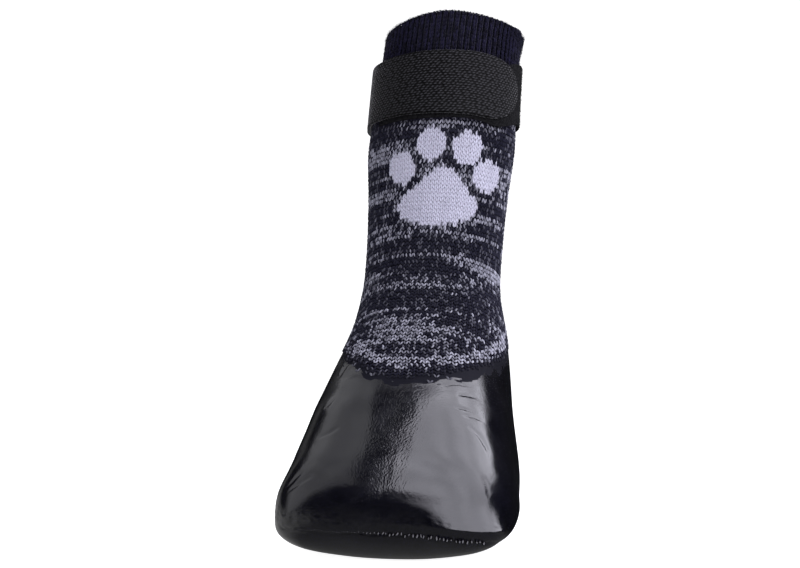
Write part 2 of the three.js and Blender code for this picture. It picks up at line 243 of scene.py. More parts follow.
for name, plan, height, fall, tint, strength in SOFT_BOXES:
    corners = [(x, y, height - fall * x) for x, y in plan]
    mesh = bpy.data.meshes.new(name)
    mesh.from_pydata(corners, [], [range(len(corners))])
    panel = bpy.data.objects.new(name, mesh)
    bpy.context.collection.objects.link(panel)
    panel.visible_camera = False
    panel.visible_shadow = False
    cloth, tree, surface = new_finish(name)
    set_values(surface, {"Base Color": (0, 0, 0, 1), "Emission Strength": strength})
    place = tree.nodes.new("ShaderNodeTexCoord")
    uneven = use_group(tree, grain, place.outputs["Object"],
                       {"Scale": 7, "Detail": 2, "Darkest": 0.7, "Lightest": 1.3, "Colour": tint})
    tree.links.new(uneven.outputs["Colour"], surface.inputs["Emission Color"])
    mesh.materials.append(cloth)

# A big soft side light models the leg from the right; the rubber does not mirror it.
LAMP_PLACE = (1.38, -0.12, 0.52)
LAMP_AIM = Vector((0, 0, 0.08))
LAMP_WIDE = 1.0
LAMP_HIGH = 0.8
LAMP_RADIANCE = 1.55
bpy.ops.object.light_add(type="AREA", location=LAMP_PLACE)
lamp = bpy.context.object
lamp.name = "side_light"
lamp.rotation_euler = (LAMP_AIM - lamp.location).to_track_quat("-Z", "Y").to_euler()
lamp.data.shape = "RECTANGLE"
lamp.data.size = LAMP_WIDE
lamp.data.size_y = LAMP_HIGH
lamp.data.energy = LAMP_RADIANCE * math.pi * LAMP_WIDE * LAMP_HIGH
lamp.visible_camera = False
lamp.visible_glossy = False


# The knitted sock
# One tube knitted on a small circular machine from navy and pale grey yarn, turned at the heel and closed
# at the toe. A dark backing wall carries every stitch that shows, each of two slanted legs of yarn.
HEEL_Y = 0.05794
FOOT_LENGTH = 0.116
SOCK_HEIGHT = 0.1615
BALL_WIDTH = 0.0618
LEG_LEAN = 0.0072
RIM_DIP = 0.0026
RIM_DIP_END = 1.2
RIM_DIP_ROUND = 0.3
KNIT_WALL = 0.0016
SOLE_WALL = 0.0020
GAP = 0.0003
# Columns: front, front up, back, back up, half width, widest, boxiness of the front and back halves, lean.
SECTIONS = np.array([
    (0.365, 1.000, -0.011, 0.978, 0.361, 0.50, 2.00, 2.00, 1.00),
    (0.371, 0.946, -0.007, 0.924, 0.361, 0.50, 2.00, 2.00, 0.86),
    (0.382, 0.851, -0.001, 0.832, 0.368, 0.50, 2.00, 2.00, 0.63),
    (0.399, 0.749, 0.007, 0.734, 0.386, 0.50, 2.00, 2.00, 0.43),
    (0.409, 0.650, 0.014, 0.638, 0.367, 0.50, 2.00, 2.00, 0.288),
    (0.427, 0.570, 0.016, 0.526, 0.3545, 0.50, 2.00, 2.00, 0.167),
    (0.474, 0.495, 0.011, 0.409, 0.354, 0.48, 2.05, 2.00, 0.071),
    (0.565, 0.424, 0.000, 0.272, 0.394, 0.44, 2.35, 2.10, 0.12),
    (0.659, 0.359, 0.008, 0.136, 0.420, 0.40, 2.80, 2.30, -0.09),
    (0.746, 0.300, 0.091, 0.025, 0.457, 0.36, 3.00, 2.60, -0.08),
    (0.823, 0.257, 0.297, 0.004, 0.476, 0.32, 2.85, 3.00, -0.07),
    (0.899, 0.207, 0.556, 0.004, 0.494, 0.32, 2.60, 2.90, 0.00),
    (0.957, 0.167, 0.772, 0.006, 0.480, 0.34, 2.45, 2.50, 0.00),
    (0.989, 0.130, 0.914, 0.016, 0.396, 0.37, 2.20, 2.20, 0.00),
    (0.999, 0.102, 0.991, 0.052, 0.220, 0.46, 2.00, 2.00, 0.00),
])
TIP = len(SECTIONS) - 1


def sock_skin(row, angle):
    """Points of the sock's outside; angle is 0 at the front and a quarter turn at +X.
    A row between two sections runs smoothly through the four nearest ones."""
    row, angle = np.broadcast_arrays(np.asarray(row, float), np.asarray(angle, float))
    i = np.clip(np.floor(row).astype(int), 0, TIP - 1)
    t = (row - i)[..., None]
    p0 = SECTIONS[np.maximum(i - 1, 0)]
    p1 = SECTIONS[i]
    p2 = SECTIONS[i + 1]
    p3 = SECTIONS[np.minimum(i + 2, TIP)]
    v1 = (p2 - p0) / 2
    v2 = (p3 - p1) / 2
    section = p1 + t * (v1 + t * (3 * (p2 - p1) - 2 * v1 - v2 + t * (2 * (p1 - p2) + v1 + v2)))
    front, front_up, back, back_up, wide, widest, box_front, box_back, lean = np.moveaxis(section, -1, 0)
    across = np.sin(angle)
    ahead = np.cos(angle)
    power = np.where(ahead >= 0, box_front, box_back)
    reach = (np.abs(across) ** power + np.abs(ahead) ** power) ** (-1 / power)
    share = widest + reach * ahead * np.where(ahead >= 0, 1 - widest, widest)
    x = LEG_LEAN * lean + BALL_WIDTH * wide * reach * across
    y = HEEL_Y - FOOT_LENGTH * (back + share * (front - back))
    dip = (np.hypot(across, RIM_DIP_ROUND) - RIM_DIP_ROUND) / (math.hypot(1, RIM_DIP_ROUND) - RIM_DIP_ROUND)
    dip_fade = np.maximum(0, 1 - row / RIM_DIP_END) ** 2
    z = SOCK_HEIGHT * (back_up + share * (front_up - back_up)) - RIM_DIP * dip * dip_fade
    return np.stack([x, y, z], -1)


def unit(vectors):
    """The same directions at length one."""
    return vectors / np.linalg.norm(vectors, axis=-1, keepdims=True)


def eased(share):
    """A share that is kept between 0 and 1 and starts and ends gently."""
    share = np.clip(share, 0, 1)
    return share * share * (3 - 2 * share)


def sock_out(row, angle):
    """Unit directions out of the sock's skin."""
    e = 1e-3
    down = sock_skin(np.minimum(row + e, TIP), angle) - sock_skin(np.maximum(row - e, 0), angle)
    around = sock_skin(row, angle + e) - sock_skin(row, angle - e)
    return unit(np.cross(down, around))


# The rubber's top edge: angle round the sock in degrees, and height above the floor.
DIP_EDGE = np.array([
    (-180, 0.0560), (-140, 0.0568), (-100, 0.0570), (-70, 0.0564), (-44, 0.0552), (-28, 0.0526),
    (-14, 0.0493), (0, 0.0482), (14, 0.0486), (30, 0.0497), (50, 0.0513), (62, 0.0525),
    (78, 0.0550), (95, 0.0572), (140, 0.0566), (180, 0.0560),
])


def dip_row(angle):
    """The row where the rubber's wavy top edge crosses each angle."""
    turn = np.linspace(-math.pi, math.pi, 721)
    k = np.clip(np.searchsorted(DIP_EDGE[:, 0], np.degrees(turn)), 1, len(DIP_EDGE) - 1)
    share = eased((np.degrees(turn) - DIP_EDGE[k - 1, 0]) / (DIP_EDGE[k, 0] - DIP_EDGE[k - 1, 0]))
    edge = DIP_EDGE[k - 1, 1] + (DIP_EDGE[k, 1] - DIP_EDGE[k - 1, 1]) * share
    low = np.full_like(turn, 4.0)
    high = np.full_like(turn, 11.0)
    for _ in range(24):
        middle = (low + high) / 2
        above = sock_skin(middle, turn)[:, 2] > edge
        low = np.where(above, middle, low)
        high = np.where(above, high, middle)
    return np.interp((np.asarray(angle) + math.pi) % (2 * math.pi) - math.pi, turn, low)


def cloud(u, v, seed, wrap):
    """Soft noise from -1 to 1 with one random value a unit; u comes round after wrap units."""
    values = np.random.default_rng(seed).uniform(-1, 1, (wrap, 256))
    iu = np.floor(u).astype(int)
    iv = np.floor(v).astype(int)
    fu = eased(u - iu)
    fv = eased(v - iv)
    low = values[iu % wrap, iv % 256] * (1 - fu) + values[(iu + 1) % wrap, iv % 256] * fu
    high = values[iu % wrap, (iv + 1) % 256] * (1 - fu) + values[(iu + 1) % wrap, (iv + 1) % 256] * fu
    return low * (1 - fv) + high * fv


def shaped_grid(name, points, values=None):
    """A grid primitive whose vertices are placed on points[row, column], with coincident ones merged.
    values holds named numbers for the same rows and columns, for the material to read."""
    rows, columns = points.shape[:2]
    bpy.ops.object.select_all(action="DESELECT")
    bpy.ops.mesh.primitive_grid_add(x_subdivisions=columns - 1, y_subdivisions=rows - 1, size=1)
    piece = bpy.context.object
    piece.name = name
    piece.data.name = name
    piece.data.vertices.foreach_set("co", np.ascontiguousarray(points, dtype=np.float32).ravel())
    for key, numbers in (values or {}).items():
        vectors = numbers.ndim == 3
        layer = piece.data.attributes.new(key, "FLOAT_VECTOR" if vectors else "FLOAT", "POINT")
        numbers = np.ascontiguousarray(numbers, dtype=np.float32).ravel()
        layer.data.foreach_set("vector" if vectors else "value", numbers)
    piece.data.update()
    bpy.ops.object.mode_set(mode="EDIT")
    bpy.ops.mesh.select_all(action="SELECT")
    bpy.ops.mesh.remove_doubles(threshold=1e-6)
    bpy.ops.mesh.normals_make_consistent(inside=False)
    bpy.ops.object.mode_set(mode="OBJECT")
    bpy.ops.object.shade_smooth()
    return piece


# The paw print. Its four toes from left to right: across and up on the leg's front, half sizes, and tilt in
# degrees. The big pad is swept from a low wide oval to a high narrow one.
PAW_TURN = math.radians(8.2)
PAW_TOES = [
    (-0.0126, 0.1111, 0.0048, 0.0051, 14),
    (-0.0032, 0.1187, 0.0046, 0.0054, 6),
    (0.0081, 0.1175, 0.0051, 0.0054, -6),
    (0.0166, 0.1088, 0.0057, 0.0053, -14),
]
PAD_LOW = (0.0004, 0.0986, 0.0138, 0.0059)
PAD_HIGH = (0.0009, 0.1068, 0.0045, 0.0047)
FRONT_RADIUS = 0.0230


def in_paw(angle, up):
    """Whether places on the leg's front lie in the paw print."""
    across = (angle - PAW_TURN) * FRONT_RADIUS
    inside = np.zeros(across.shape, bool)
    for x, z, half_x, half_z, tilt in PAW_TOES:
        c = math.cos(math.radians(tilt))
        s = math.sin(math.radians(tilt))
        du = across - x
        dv = up - z
        inside |= ((du * c + dv * s) / half_x) ** 2 + ((dv * c - du * s) / half_z) ** 2 < 1
    for share in np.linspace(0, 1, 14):
        x, z, half_x, half_z = (low + (high - low) * share for low, high in zip(PAD_LOW, PAD_HIGH))
        inside |= ((across - x) / half_x) ** 2 + ((up - z) / half_z) ** 2 < 1
    return inside


# The backing wall runs from the toe up the outside, over the rim and down the inside to the toe again.
BACKING = 0.00050
turn = np.linspace(-math.pi, math.pi, 169)
rows_down = np.concatenate([np.linspace(0, 6, 96), np.linspace(6.1, TIP, 48)])
layers = []
for depth, lowest, rows in ((BACKING, SOLE_WALL + GAP, rows_down[::-1]),
                            (KNIT_WALL, SOLE_WALL + KNIT_WALL, rows_down)):
    grid_row, grid_turn = np.meshgrid(rows, turn, indexing="ij")
    wall = sock_skin(grid_row, grid_turn) - sock_out(grid_row, grid_turn) * depth
    wall[..., 2] = np.maximum(wall[..., 2], lowest)
    layers.append(wall)
toe_out = np.broadcast_to(layers[0][0].mean(axis=0), (1, len(turn), 3))
toe_in = np.broadcast_to(layers[1][-1].mean(axis=0), (1, len(turn), 3))
wall = np.concatenate([toe_out, layers[0], layers[1], toe_in])
under_paw = in_paw(np.broadcast_to(turn, wall.shape[:2]), wall[..., 2]).astype(float)
under_paw[len(rows_down) + 1:] = 0
backing = shaped_grid("knit_backing", wall, {"paw": under_paw})


def add_bump(tree, shader, height, strength, distance, invert=False):
    """Raises a surface by a height, over the bump that it may have already."""
    bump = tree.nodes.new("ShaderNodeBump")
    bump.invert = invert
    set_values(bump, {"Strength": strength, "Distance": distance})
    tree.links.new(height, bump.inputs["Height"])
    for earlier in shader.inputs["Normal"].links:
        tree.links.new(earlier.from_socket, bump.inputs["Normal"])
    tree.links.new(bump.outputs["Normal"], shader.inputs["Normal"])


# Heads of small loops, crowded together: painted light on their tops and painted shade in the pits between,
# which are also sunk for the bump. The backing and the strap's pile both show it.
loop_heads_and_pit_shade, given, made = effect_group(
    "loop_heads_and_pit_shade", [("Place", "Vector"), ("Scale", "Float"), ("Top", "Color"), ("Shaded pit", "Color")],
    [("Colour", "Color"), ("Depth", "Float")])
heads = loop_heads_and_pit_shade.nodes.new("ShaderNodeTexVoronoi")
loop_heads_and_pit_shade.links.new(given["Place"], heads.inputs["Vector"])
loop_heads_and_pit_shade.links.new(given["Scale"], heads.inputs["Scale"])
tone = loop_heads_and_pit_shade.nodes.new("ShaderNodeMix")
tone.data_type = "RGBA"
loop_heads_and_pit_shade.links.new(heads.outputs["Distance"], tone.inputs["Factor"])
loop_heads_and_pit_shade.links.new(given["Top"], tone.inputs["A"])
loop_heads_and_pit_shade.links.new(given["Shaded pit"], tone.inputs["B"])
loop_heads_and_pit_shade.links.new(tone.outputs["Result"], made["Colour"])
loop_heads_and_pit_shade.links.new(heads.outputs["Distance"], made["Depth"])

yarn_ground, tree, cloth = new_finish("navy_backing")
set_values(cloth, {"Roughness": 0.95, "Specular IOR Level": 0.08})
place = tree.nodes.new("ShaderNodeTexCoord")
# The backing's loop heads: painted light on their tops, painted shade in the pits between.
loops = use_group(tree, loop_heads_and_pit_shade, place.outputs["Object"],
                  {"Scale": 900, "Top": (0.010, 0.010, 0.019, 1), "Shaded pit": (0.003, 0.003, 0.006, 1)})
paw_print = tree.nodes.new("ShaderNodeAttribute")
paw_print.attribute_name = "paw"
dyed = tree.nodes.new("ShaderNodeMix")
dyed.data_type = "RGBA"
dyed.inputs["B"].default_value = (0.385, 0.38, 0.452, 1)
tree.links.new(paw_print.outputs["Fac"], dyed.inputs["Factor"])
tree.links.new(loops.outputs["Colour"], dyed.inputs["A"])
tree.links.new(dyed.outputs["Result"], cloth.inputs["Base Color"])
add_bump(tree, cloth, loops.outputs["Depth"], 0.5, 0.0005, invert=True)
backing.data.materials.append(yarn_ground)
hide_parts("knit_sock")
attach(backing, "root")

# One leg of a stitch: a tip, three rings of four points, and a tip.
LEG_T = np.array([0.0] + [0.20] * 4 + [0.52] * 4 + [0.84] * 4 + [1.0])
LEG_RING = np.array([0.0] + [0.88] * 4 + [1.0] * 4 + [0.80] * 4 + [0.0])
LEG_SPIN = np.array([0.0] + [0.0, 0.5, 1.0, 1.5] * 3 + [0.0]) * math.pi
LEG_FACES = [(0, 1 + (k + 1) % 4, 1 + k) for k in range(4)]
for ring in (1, 5):
    for k in range(4):
        near = ring + k
        far = ring + (k + 1) % 4
        LEG_FACES += [(near, far, far + 4), (near, far + 4, near + 4)]
LEG_FACES += [(13, 9 + k, 9 + (k + 1) % 4) for k in range(4)]


def joined_mesh(name, points, faces, colours):
    """Joins copies of one small shape, points[copy, vertex], into a mesh with a colour for each copy."""
    copies, corners = points.shape[:2]
    faces = (np.array(faces)[None] + (np.arange(copies) * corners)[:, None, None]).reshape(-1, 3)
    mesh = bpy.data.meshes.new(name)
    mesh.vertices.add(copies * corners)
    mesh.vertices.foreach_set("co", np.ascontiguousarray(points, dtype=np.float32).ravel())
    mesh.loops.add(faces.size)
    mesh.loops.foreach_set("vertex_index", faces.ravel().astype(np.int32))
    mesh.polygons.add(len(faces))
    mesh.polygons.foreach_set("loop_start", np.arange(0, faces.size, 3, dtype=np.int32))
    mesh.update(calc_edges=True)
    dye = mesh.attributes.new("yarn", "FLOAT_COLOR", "POINT")
    tint = np.concatenate([np.repeat(colours, corners, axis=0), np.ones((copies * corners, 1))], axis=1)
    dye.data.foreach_set("color", tint.astype(np.float32).ravel())
    mesh.shade_smooth()
    piece = bpy.data.objects.new(name, mesh)
    bpy.context.collection.objects.link(piece)
    return piece


def yarn_finish(name, sheen):
    """Matt twisted yarn: the colour of each copy, broken by fine fibre."""
    material, tree, cloth = new_finish(name)
    set_values(cloth, {"Roughness": 0.95, "Specular IOR Level": 0.08, "Sheen Weight": sheen,
                       "Sheen Roughness": 0.5})
    dye = tree.nodes.new("ShaderNodeAttribute")
    dye.attribute_name = "yarn"
    place = tree.nodes.new("ShaderNodeTexCoord")
    fibre = use_group(tree, grain, place.outputs["Object"],
                      {"Scale": 2600, "Detail": 2, "Darkest": 0.88, "Lightest": 1.06})
    tree.links.new(dye.outputs["Color"], fibre.inputs["Colour"])
    tree.links.new(fibre.outputs["Colour"], cloth.inputs["Base Color"])
    add_bump(tree, cloth, fibre.outputs["Height"], 0.4, 0.0002)
    return material


# Courses lie on the sections, one about every 1.4 mm; wales run down the tube.
WALES = 112
WALE_TURN = 2 * math.pi / WALES
COURSE = 0.00138
DROOP = 0.0013
fine = np.linspace(2.3, 9.9, 900)
front_line = np.linalg.norm(np.diff(sock_skin(fine, 0.0), axis=0), axis=1)
side_line = np.linalg.norm(np.diff(sock_skin(fine, 1.4), axis=0), axis=1)
courses_down = np.concatenate([[0], np.cumsum(0.6 * front_line + 0.4 * side_line)]) / COURSE
course, wale = np.meshgrid(np.arange(int(courses_down[-1])), np.arange(WALES), indexing="ij")
course = course.ravel()
wale = wale.ravel()
wale_turn = (wale + 0.5) / WALES * 2 * math.pi - math.pi


def stitch_row(course, angle):
    """The row of a place counted in courses: the courses hang a little at the sides of the leg."""
    row = np.interp(course, courses_down, fine)
    hang = DROOP / COURSE * np.sin(angle) ** 2 * np.clip((8 - row) / 4, 0, 1)
    return np.interp(course + hang, courses_down, fine)


chance = np.random.default_rng(11)
past_edge = stitch_row(course, wale_turn) - dip_row(wale_turn)
poke_out = (past_edge < 0.30) & (np.abs(wale_turn) < 0.55) & (chance.uniform(0, 1, len(course)) < 0.10)
shows = (past_edge < 0.12) | poke_out
course = course[shows]
wale = wale[shows]
wale_turn = wale_turn[shows]
past_edge = past_edge[shows]

# The yarn is dyed in runs, so pale and navy stretches follow the courses and drift from one to the next.
# Towards the rubber it has soaked up black.
NAVY = np.array([0.0100, 0.0100, 0.0205])
PALE = np.array([0.30, 0.30, 0.355])
PAW_WHITE = np.array([0.455, 0.450, 0.538])
patch = cloud(wale / 14, course / 4.5, 3, 8) + 0.6 * cloud(wale / 7, course / 2.0, 4, 16)
stripe = cloud(wale / 18.67, course + 0.5, 8, 6)
soaked = np.clip((past_edge + 0.03) / 0.10, 0, 1)
# A few pale courses cross the front close above the rubber, and run out on its edge at the right.
above_edge = np.interp(dip_row(wale_turn), fine, courses_down)
above_edge = above_edge - np.interp(stitch_row(course, wale_turn), fine, courses_down)
band_low = 2.0 - 1.6 * np.clip((wale_turn - 0.2) / 0.6, 0, 1)
in_band = (above_edge > band_low) & (above_edge < band_low + 3.4) & (np.abs(wale_turn - 0.4) < 0.95)
over_band = (above_edge > band_low + 3.4) & (above_edge < band_low + 8) & (np.abs(wale_turn + 0.3) < 0.6)
# Towards the right side of the leg fewer stitches are pale, so that side is darker: painted shade.
right_side_shade = np.clip((wale_turn - 0.5) / 0.4, 0, 1) * (wale_turn < 2)
bands_and_right_shade = np.where(in_band, -0.50, 0.30 * over_band + 0.14 * right_side_shade)
# One leg of a stitch: how far it starts from the middle of its wale, how far it spreads on the way down and
# the yarn's half width, all in wales. Then, in metres, the yarn's half height and the leg's arch, bed and
# sinking-in. The yarn of the paw is plumper and lies flatter.
LEG_APART = 0.07
LEG_SPREAD = 0.37
YARN_WIDE = 0.20
YARN_HIGH = 0.00026
LEG_ARCH = 0.00020
LEG_BED = 0.00012
LEG_SUNK = 0.00020
PAW_PLUMP = 1.38
PAW_FLAT = 0.42
# How much patches, stripes along the courses, runs of one yarn and single stitches count in the marl, and
# the level that a stitch has to pass to be pale.
PATCH_SHARE = 0.30
STRIPE_SHARE = 0.80
RUN_SHARE = 0.30
FLICK_SHARE = 0.36
PALE_LEVEL = 0.12
stitch_legs = []
stitch_colours = []
shift_u = chance.normal(0, 0.05, len(course))
shift_v = chance.normal(0, 0.08, len(course))
swell = chance.normal(1.0, 0.12, len(course))
for side in (-1, 1):
    up = sock_skin(stitch_row(course, wale_turn), wale_turn + side * 0.2 * WALE_TURN)[:, 2]
    jag = chance.normal(0, 0.00045, len(course))
    paw = in_paw(wale_turn + side * 0.013, up + jag) & (np.abs(wale_turn) < 1.6)
    plump = np.where(paw, PAW_PLUMP, swell)[:, None]
    low = np.where(paw, PAW_FLAT, swell)[:, None]
    stray = np.where(paw, 0.3, 1.0)
    t = LEG_T[None]
    u = side * (LEG_APART + LEG_SPREAD * t ** 0.9) + (shift_u * stray)[:, None]
    u = u + YARN_WIDE * LEG_RING * np.cos(LEG_SPIN) * plump
    v = 0.54 - (1.16 + 0.25 * paw[:, None]) * t + (shift_v * stray)[:, None]
    arch = LEG_ARCH * np.sin(math.pi * (0.12 + 0.80 * t)) * np.where(paw, 0.5, 1.0)[:, None]
    lift = LEG_BED + arch - LEG_BED * t
    lift = lift + YARN_HIGH * LEG_RING * np.sin(LEG_SPIN) * low - LEG_SUNK
    angle = wale_turn[:, None] + u * WALE_TURN
    row = stitch_row(course[:, None] + v, angle)
    stitch_legs.append(sock_skin(row, angle) + sock_out(row, angle) * lift[..., None])
    run = cloud(wale / 8 + 31 * side, course * 1.0 + 0.5, 5 + side, 14)
    flick = chance.uniform(-1, 1, len(course))
    level = PALE_LEVEL + 0.80 * soaked + 0.10 * (course > 45) + bands_and_right_shade
    pale = PATCH_SHARE * patch + STRIPE_SHARE * stripe + RUN_SHARE * run + FLICK_SHARE * flick > level
    pale = pale | (past_edge > 0.12)
    blend = np.where(pale, chance.uniform(0.35, 1.15, len(course)), chance.uniform(0.0, 0.02, len(course)))
    greyed = ~pale & (chance.uniform(0, 1, len(course)) < 0.22)
    blend = np.where(greyed, 0.22, blend) + 0.2 * (pale & in_band)
    tint = (NAVY + (PALE - NAVY) * blend[:, None]) * (1 - 0.45 * soaked[:, None])
    streak = 1 + 0.04 * cloud(wale * 1.0, course / 12, 9, WALES) + chance.normal(0, 0.02, len(course))
    stitch_colours.append(np.where(paw[:, None], PAW_WHITE * streak[:, None], tint))
stitch_legs = np.concatenate(stitch_legs)
stitch_colours = np.concatenate(stitch_colours)
stitch_courses = np.concatenate([course, course])

marl = yarn_finish("marled_yarn", 0.04)
# Three bands of courses, each a piece of its own.
STITCH_BANDS = [("stitches_upper", 0, 24), ("stitches_middle", 24, 47), ("stitches_lower", 47, 200)]
for name, first, last in STITCH_BANDS:
    part = (stitch_courses >= first) & (stitch_courses < last)
    piece = joined_mesh(name, stitch_legs[part], LEG_FACES, stitch_colours[part])
    piece.data.materials.append(marl)
    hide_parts("knit_sock")
    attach(piece, "root")


# The ribbed cuff
# The top of the same tube, in navy yarn: columns of stitches stand up as ribs and close over the rim.
RIBS = 72
RIB_COURSE = 0.00125
CUFF_END = 1.45
fine_cuff = np.linspace(0, CUFF_END, 120)
cuff_steps = np.linalg.norm(np.diff(sock_skin(fine_cuff, 0.0), axis=0), axis=1)
cuff_down = np.concatenate([[0], np.cumsum(cuff_steps)]) / RIB_COURSE
course, rib = np.meshgrid(np.arange(int(cuff_down[-1])) + 0.5, np.arange(RIBS), indexing="ij")
course = course.ravel()
rib = rib.ravel()
rib_turn = rib / RIBS * 2 * math.pi - math.pi
# Each rib is a column of stitches; the ribs inside the rim stand between those outside. Places are counted
# in ribs and courses, and heights off the cloth in metres.
RIB_YARN_WIDE = 0.21
RIB_YARN_HIGH = 0.00036
INNER_COURSES = 6
cuff_legs = []
for inner in (False, True):
    near_rim = course < (INNER_COURSES if inner else len(course))
    for side in (-1, 1):
        t = LEG_T[None]
        u = side * (0.11 + 0.11 * t) + chance.normal(0, 0.02, len(course))[:, None]
        u = u + RIB_YARN_WIDE * LEG_RING * np.cos(LEG_SPIN) + (0.5 if inner else 0)
        v = 0.85 - 1.70 * t + chance.normal(0, 0.08, len(course))[:, None]
        lift = 0.00030 + 0.00010 * np.sin(math.pi * (0.1 + 0.8 * t)) - 0.00008 * t
        lift = lift + RIB_YARN_HIGH * LEG_RING * np.sin(LEG_SPIN)
        lift = lift + chance.normal(0, 0.00003, len(course))[:, None]
        row = np.interp(np.maximum(course[:, None] + v, 0), cuff_down, fine_cuff)
        angle = rib_turn[:, None] + u * (2 * math.pi / RIBS)
        depth = -KNIT_WALL - lift + 0.0003 if inner else lift - 0.00025
        legs = sock_skin(row, angle) + sock_out(row, angle) * depth[..., None]
        cuff_legs.append(legs[near_rim])
# Loop heads that turn over the rim, one on each rib and one between.
head_turn = np.arange(2 * RIBS) / (2 * RIBS) * 2 * math.pi - math.pi
t = LEG_T[None]
over = math.pi * (0.05 + 0.90 * t)
u = 0.40 * LEG_RING * np.cos(LEG_SPIN) + chance.normal(0, 0.05, len(head_turn))[:, None]
angle = head_turn[:, None] + u * (math.pi / RIBS)
reach = np.cos(over) * (KNIT_WALL / 2 + 0.0003) - KNIT_WALL / 2
on_rib = (np.arange(2 * RIBS) % 2 == 0)[:, None]
rise = np.sin(over) * (0.00020 + 0.00020 * on_rib) - 0.0001 + 0.0003 * LEG_RING * np.sin(LEG_SPIN)
heads = sock_skin(np.zeros_like(angle), angle) + sock_out(np.zeros_like(angle), angle) * reach[..., None]
heads[..., 2] += rise
cuff_legs.append(heads)
cuff_legs = np.concatenate(cuff_legs)
CUFF_NAVY = np.array([0.0060, 0.0054, 0.0155])
cuff_tint = CUFF_NAVY * chance.uniform(0.40, 1.70, len(cuff_legs))[:, None]
cuff = joined_mesh("cuff_ribs", cuff_legs, LEG_FACES, cuff_tint)
navy_yarn = yarn_finish("navy_yarn", 0.05)
cuff.data.materials.append(navy_yarn)
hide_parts("knit_sock")
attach(cuff, "root")

# The fuzz
# Loose fibre ends of the soft yarn that stand off the leg and, longer, off the cuff and its rim.
FIBRE_RADIUS = 0.000028
FIBRE_FACES = [(0, 2, 1)]
for k in range(3):
    far = (k + 1) % 3
    FIBRE_FACES += [(k, far, far + 3), (k, far + 3, k + 3), (k + 3, far + 3, 6)]


def loose_fibres(start, out, length):
    """Thin bent fibres from start points, each leaning its own way off the cloth."""
    lean = chance.normal(0, 1, start.shape)
    lean = lean - out * np.sum(lean * out, axis=1, keepdims=True)
    bend = out * 0.55 + lean * 0.35
    bent = start + bend * length[:, None] * 0.55
    tip = start + (bend * 0.8 + lean * 0.35) * length[:, None]
    side_a = unit(np.cross(out, lean))
    side_b = unit(np.cross(side_a, bend))
    tubes = []
    for middle, radius in ((start, 1.0), (bent, 0.8)):
        for k in range(3):
            spoke = side_a * math.cos(k * 2 * math.pi / 3) + side_b * math.sin(k * 2 * math.pi / 3)
            tubes.append(middle + spoke * FIBRE_RADIUS * radius)
    return np.stack(tubes + [tip], axis=1)


# Fibre ends on the rim, on the cuff, on the leg, and some more on the cuff's right side.
ON_RIM = 900
ON_CUFF = 1900
ON_LEG = 3200
ON_CUFF_RIGHT = 1400
RIM_ROW = 0.06
fibre_row = np.concatenate([
    chance.uniform(0, RIM_ROW, ON_RIM),
    chance.uniform(0, 1.3, ON_CUFF),
    chance.uniform(2.6, 8.9, ON_LEG),
    chance.uniform(0, 0.9, ON_CUFF_RIGHT),
])
fibre_turn = np.concatenate([
    chance.uniform(-math.pi, math.pi, ON_RIM + ON_CUFF + ON_LEG),
    chance.uniform(1.1, 2.2, ON_CUFF_RIGHT),
])
clear = fibre_row < dip_row(fibre_turn) - 0.05
fibre_row = fibre_row[clear]
fibre_turn = fibre_turn[clear]
on_cuff = fibre_row < 1.4
out = sock_out(fibre_row, fibre_turn)
upward = np.where(fibre_row < RIM_ROW, 0.8, 0.0)[:, None] * np.array([0, 0, 1.0])
start = sock_skin(fibre_row, fibre_turn) + out * np.where(on_cuff, 0.0003, 0.0)[:, None]
out = unit(out + upward)
cuff_length = chance.uniform(0.0008, 0.0019, len(start))
leg_length = chance.uniform(0.0007, 0.0015, len(start))
length = np.where(on_cuff, cuff_length, leg_length)
leg_tint = NAVY + (PALE - NAVY) * chance.uniform(0, 0.5, len(start))[:, None]
fibre_tint = np.where(on_cuff[:, None], CUFF_NAVY * 1.5, leg_tint)
fuzz = joined_mesh("yarn_fuzz", loose_fibres(start, out, length), FIBRE_FACES, fibre_tint)
fuzz.data.materials.append(navy_yarn)
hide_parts("knit_sock")
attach(fuzz, "root")

# The rubber coat
# The foot is dipped in black rubber up to a ragged line; the coat is thin at its edge and thick under the
# sole. The stitches show through at the edge, and the toe seam stands up under the coat as a ledge.
RUBBER_WALL = 0.0012
EDGE_COVER = -0.00010
THIN_LENGTH = 0.026
SOAK_LENGTH = 0.0035
COLUMNS = 384
EDGE_ROWS = 176
CAP_ROWS = 26
TOE_ROW = 135
TOE_ROWS = 25
ROUNDING = 220
turn = np.linspace(-math.pi, math.pi, COLUMNS + 1)
lap = (turn + math.pi) / (2 * math.pi)
ragged = 0.040 * cloud(lap * 60, np.zeros_like(lap), 21, 60)
ragged = ragged + 0.045 * cloud(lap * 16, np.zeros_like(lap), 22, 16)
edge_row = dip_row(turn) + ragged
along = np.linspace(0, 1, EDGE_ROWS)[:, None] ** 0.95
coat_row = edge_row + (TIP - edge_row) * along
coat_turn = np.broadcast_to(turn, coat_row.shape)
skin = sock_skin(coat_row, coat_turn)
below_edge = np.cumsum(np.linalg.norm(np.diff(skin, axis=0, prepend=skin[:1]), axis=2), axis=0)
cover = EDGE_COVER + (GAP + RUBBER_WALL - EDGE_COVER) * eased(below_edge / THIN_LENGTH)
coat = skin + sock_out(coat_row, coat_turn) * cover[..., None]
toe = coat[-1].mean(axis=0) + np.array([0, -0.0006, 0])
cap = np.linspace(0, 1, CAP_ROWS + 1)[1:, None, None]
coat = np.concatenate([coat, coat[-1:] * (1 - cap) + toe * cap])
toe_weight = np.clip((np.arange(len(coat)) - TOE_ROW) / TOE_ROWS, 0, 1)[:, None, None]


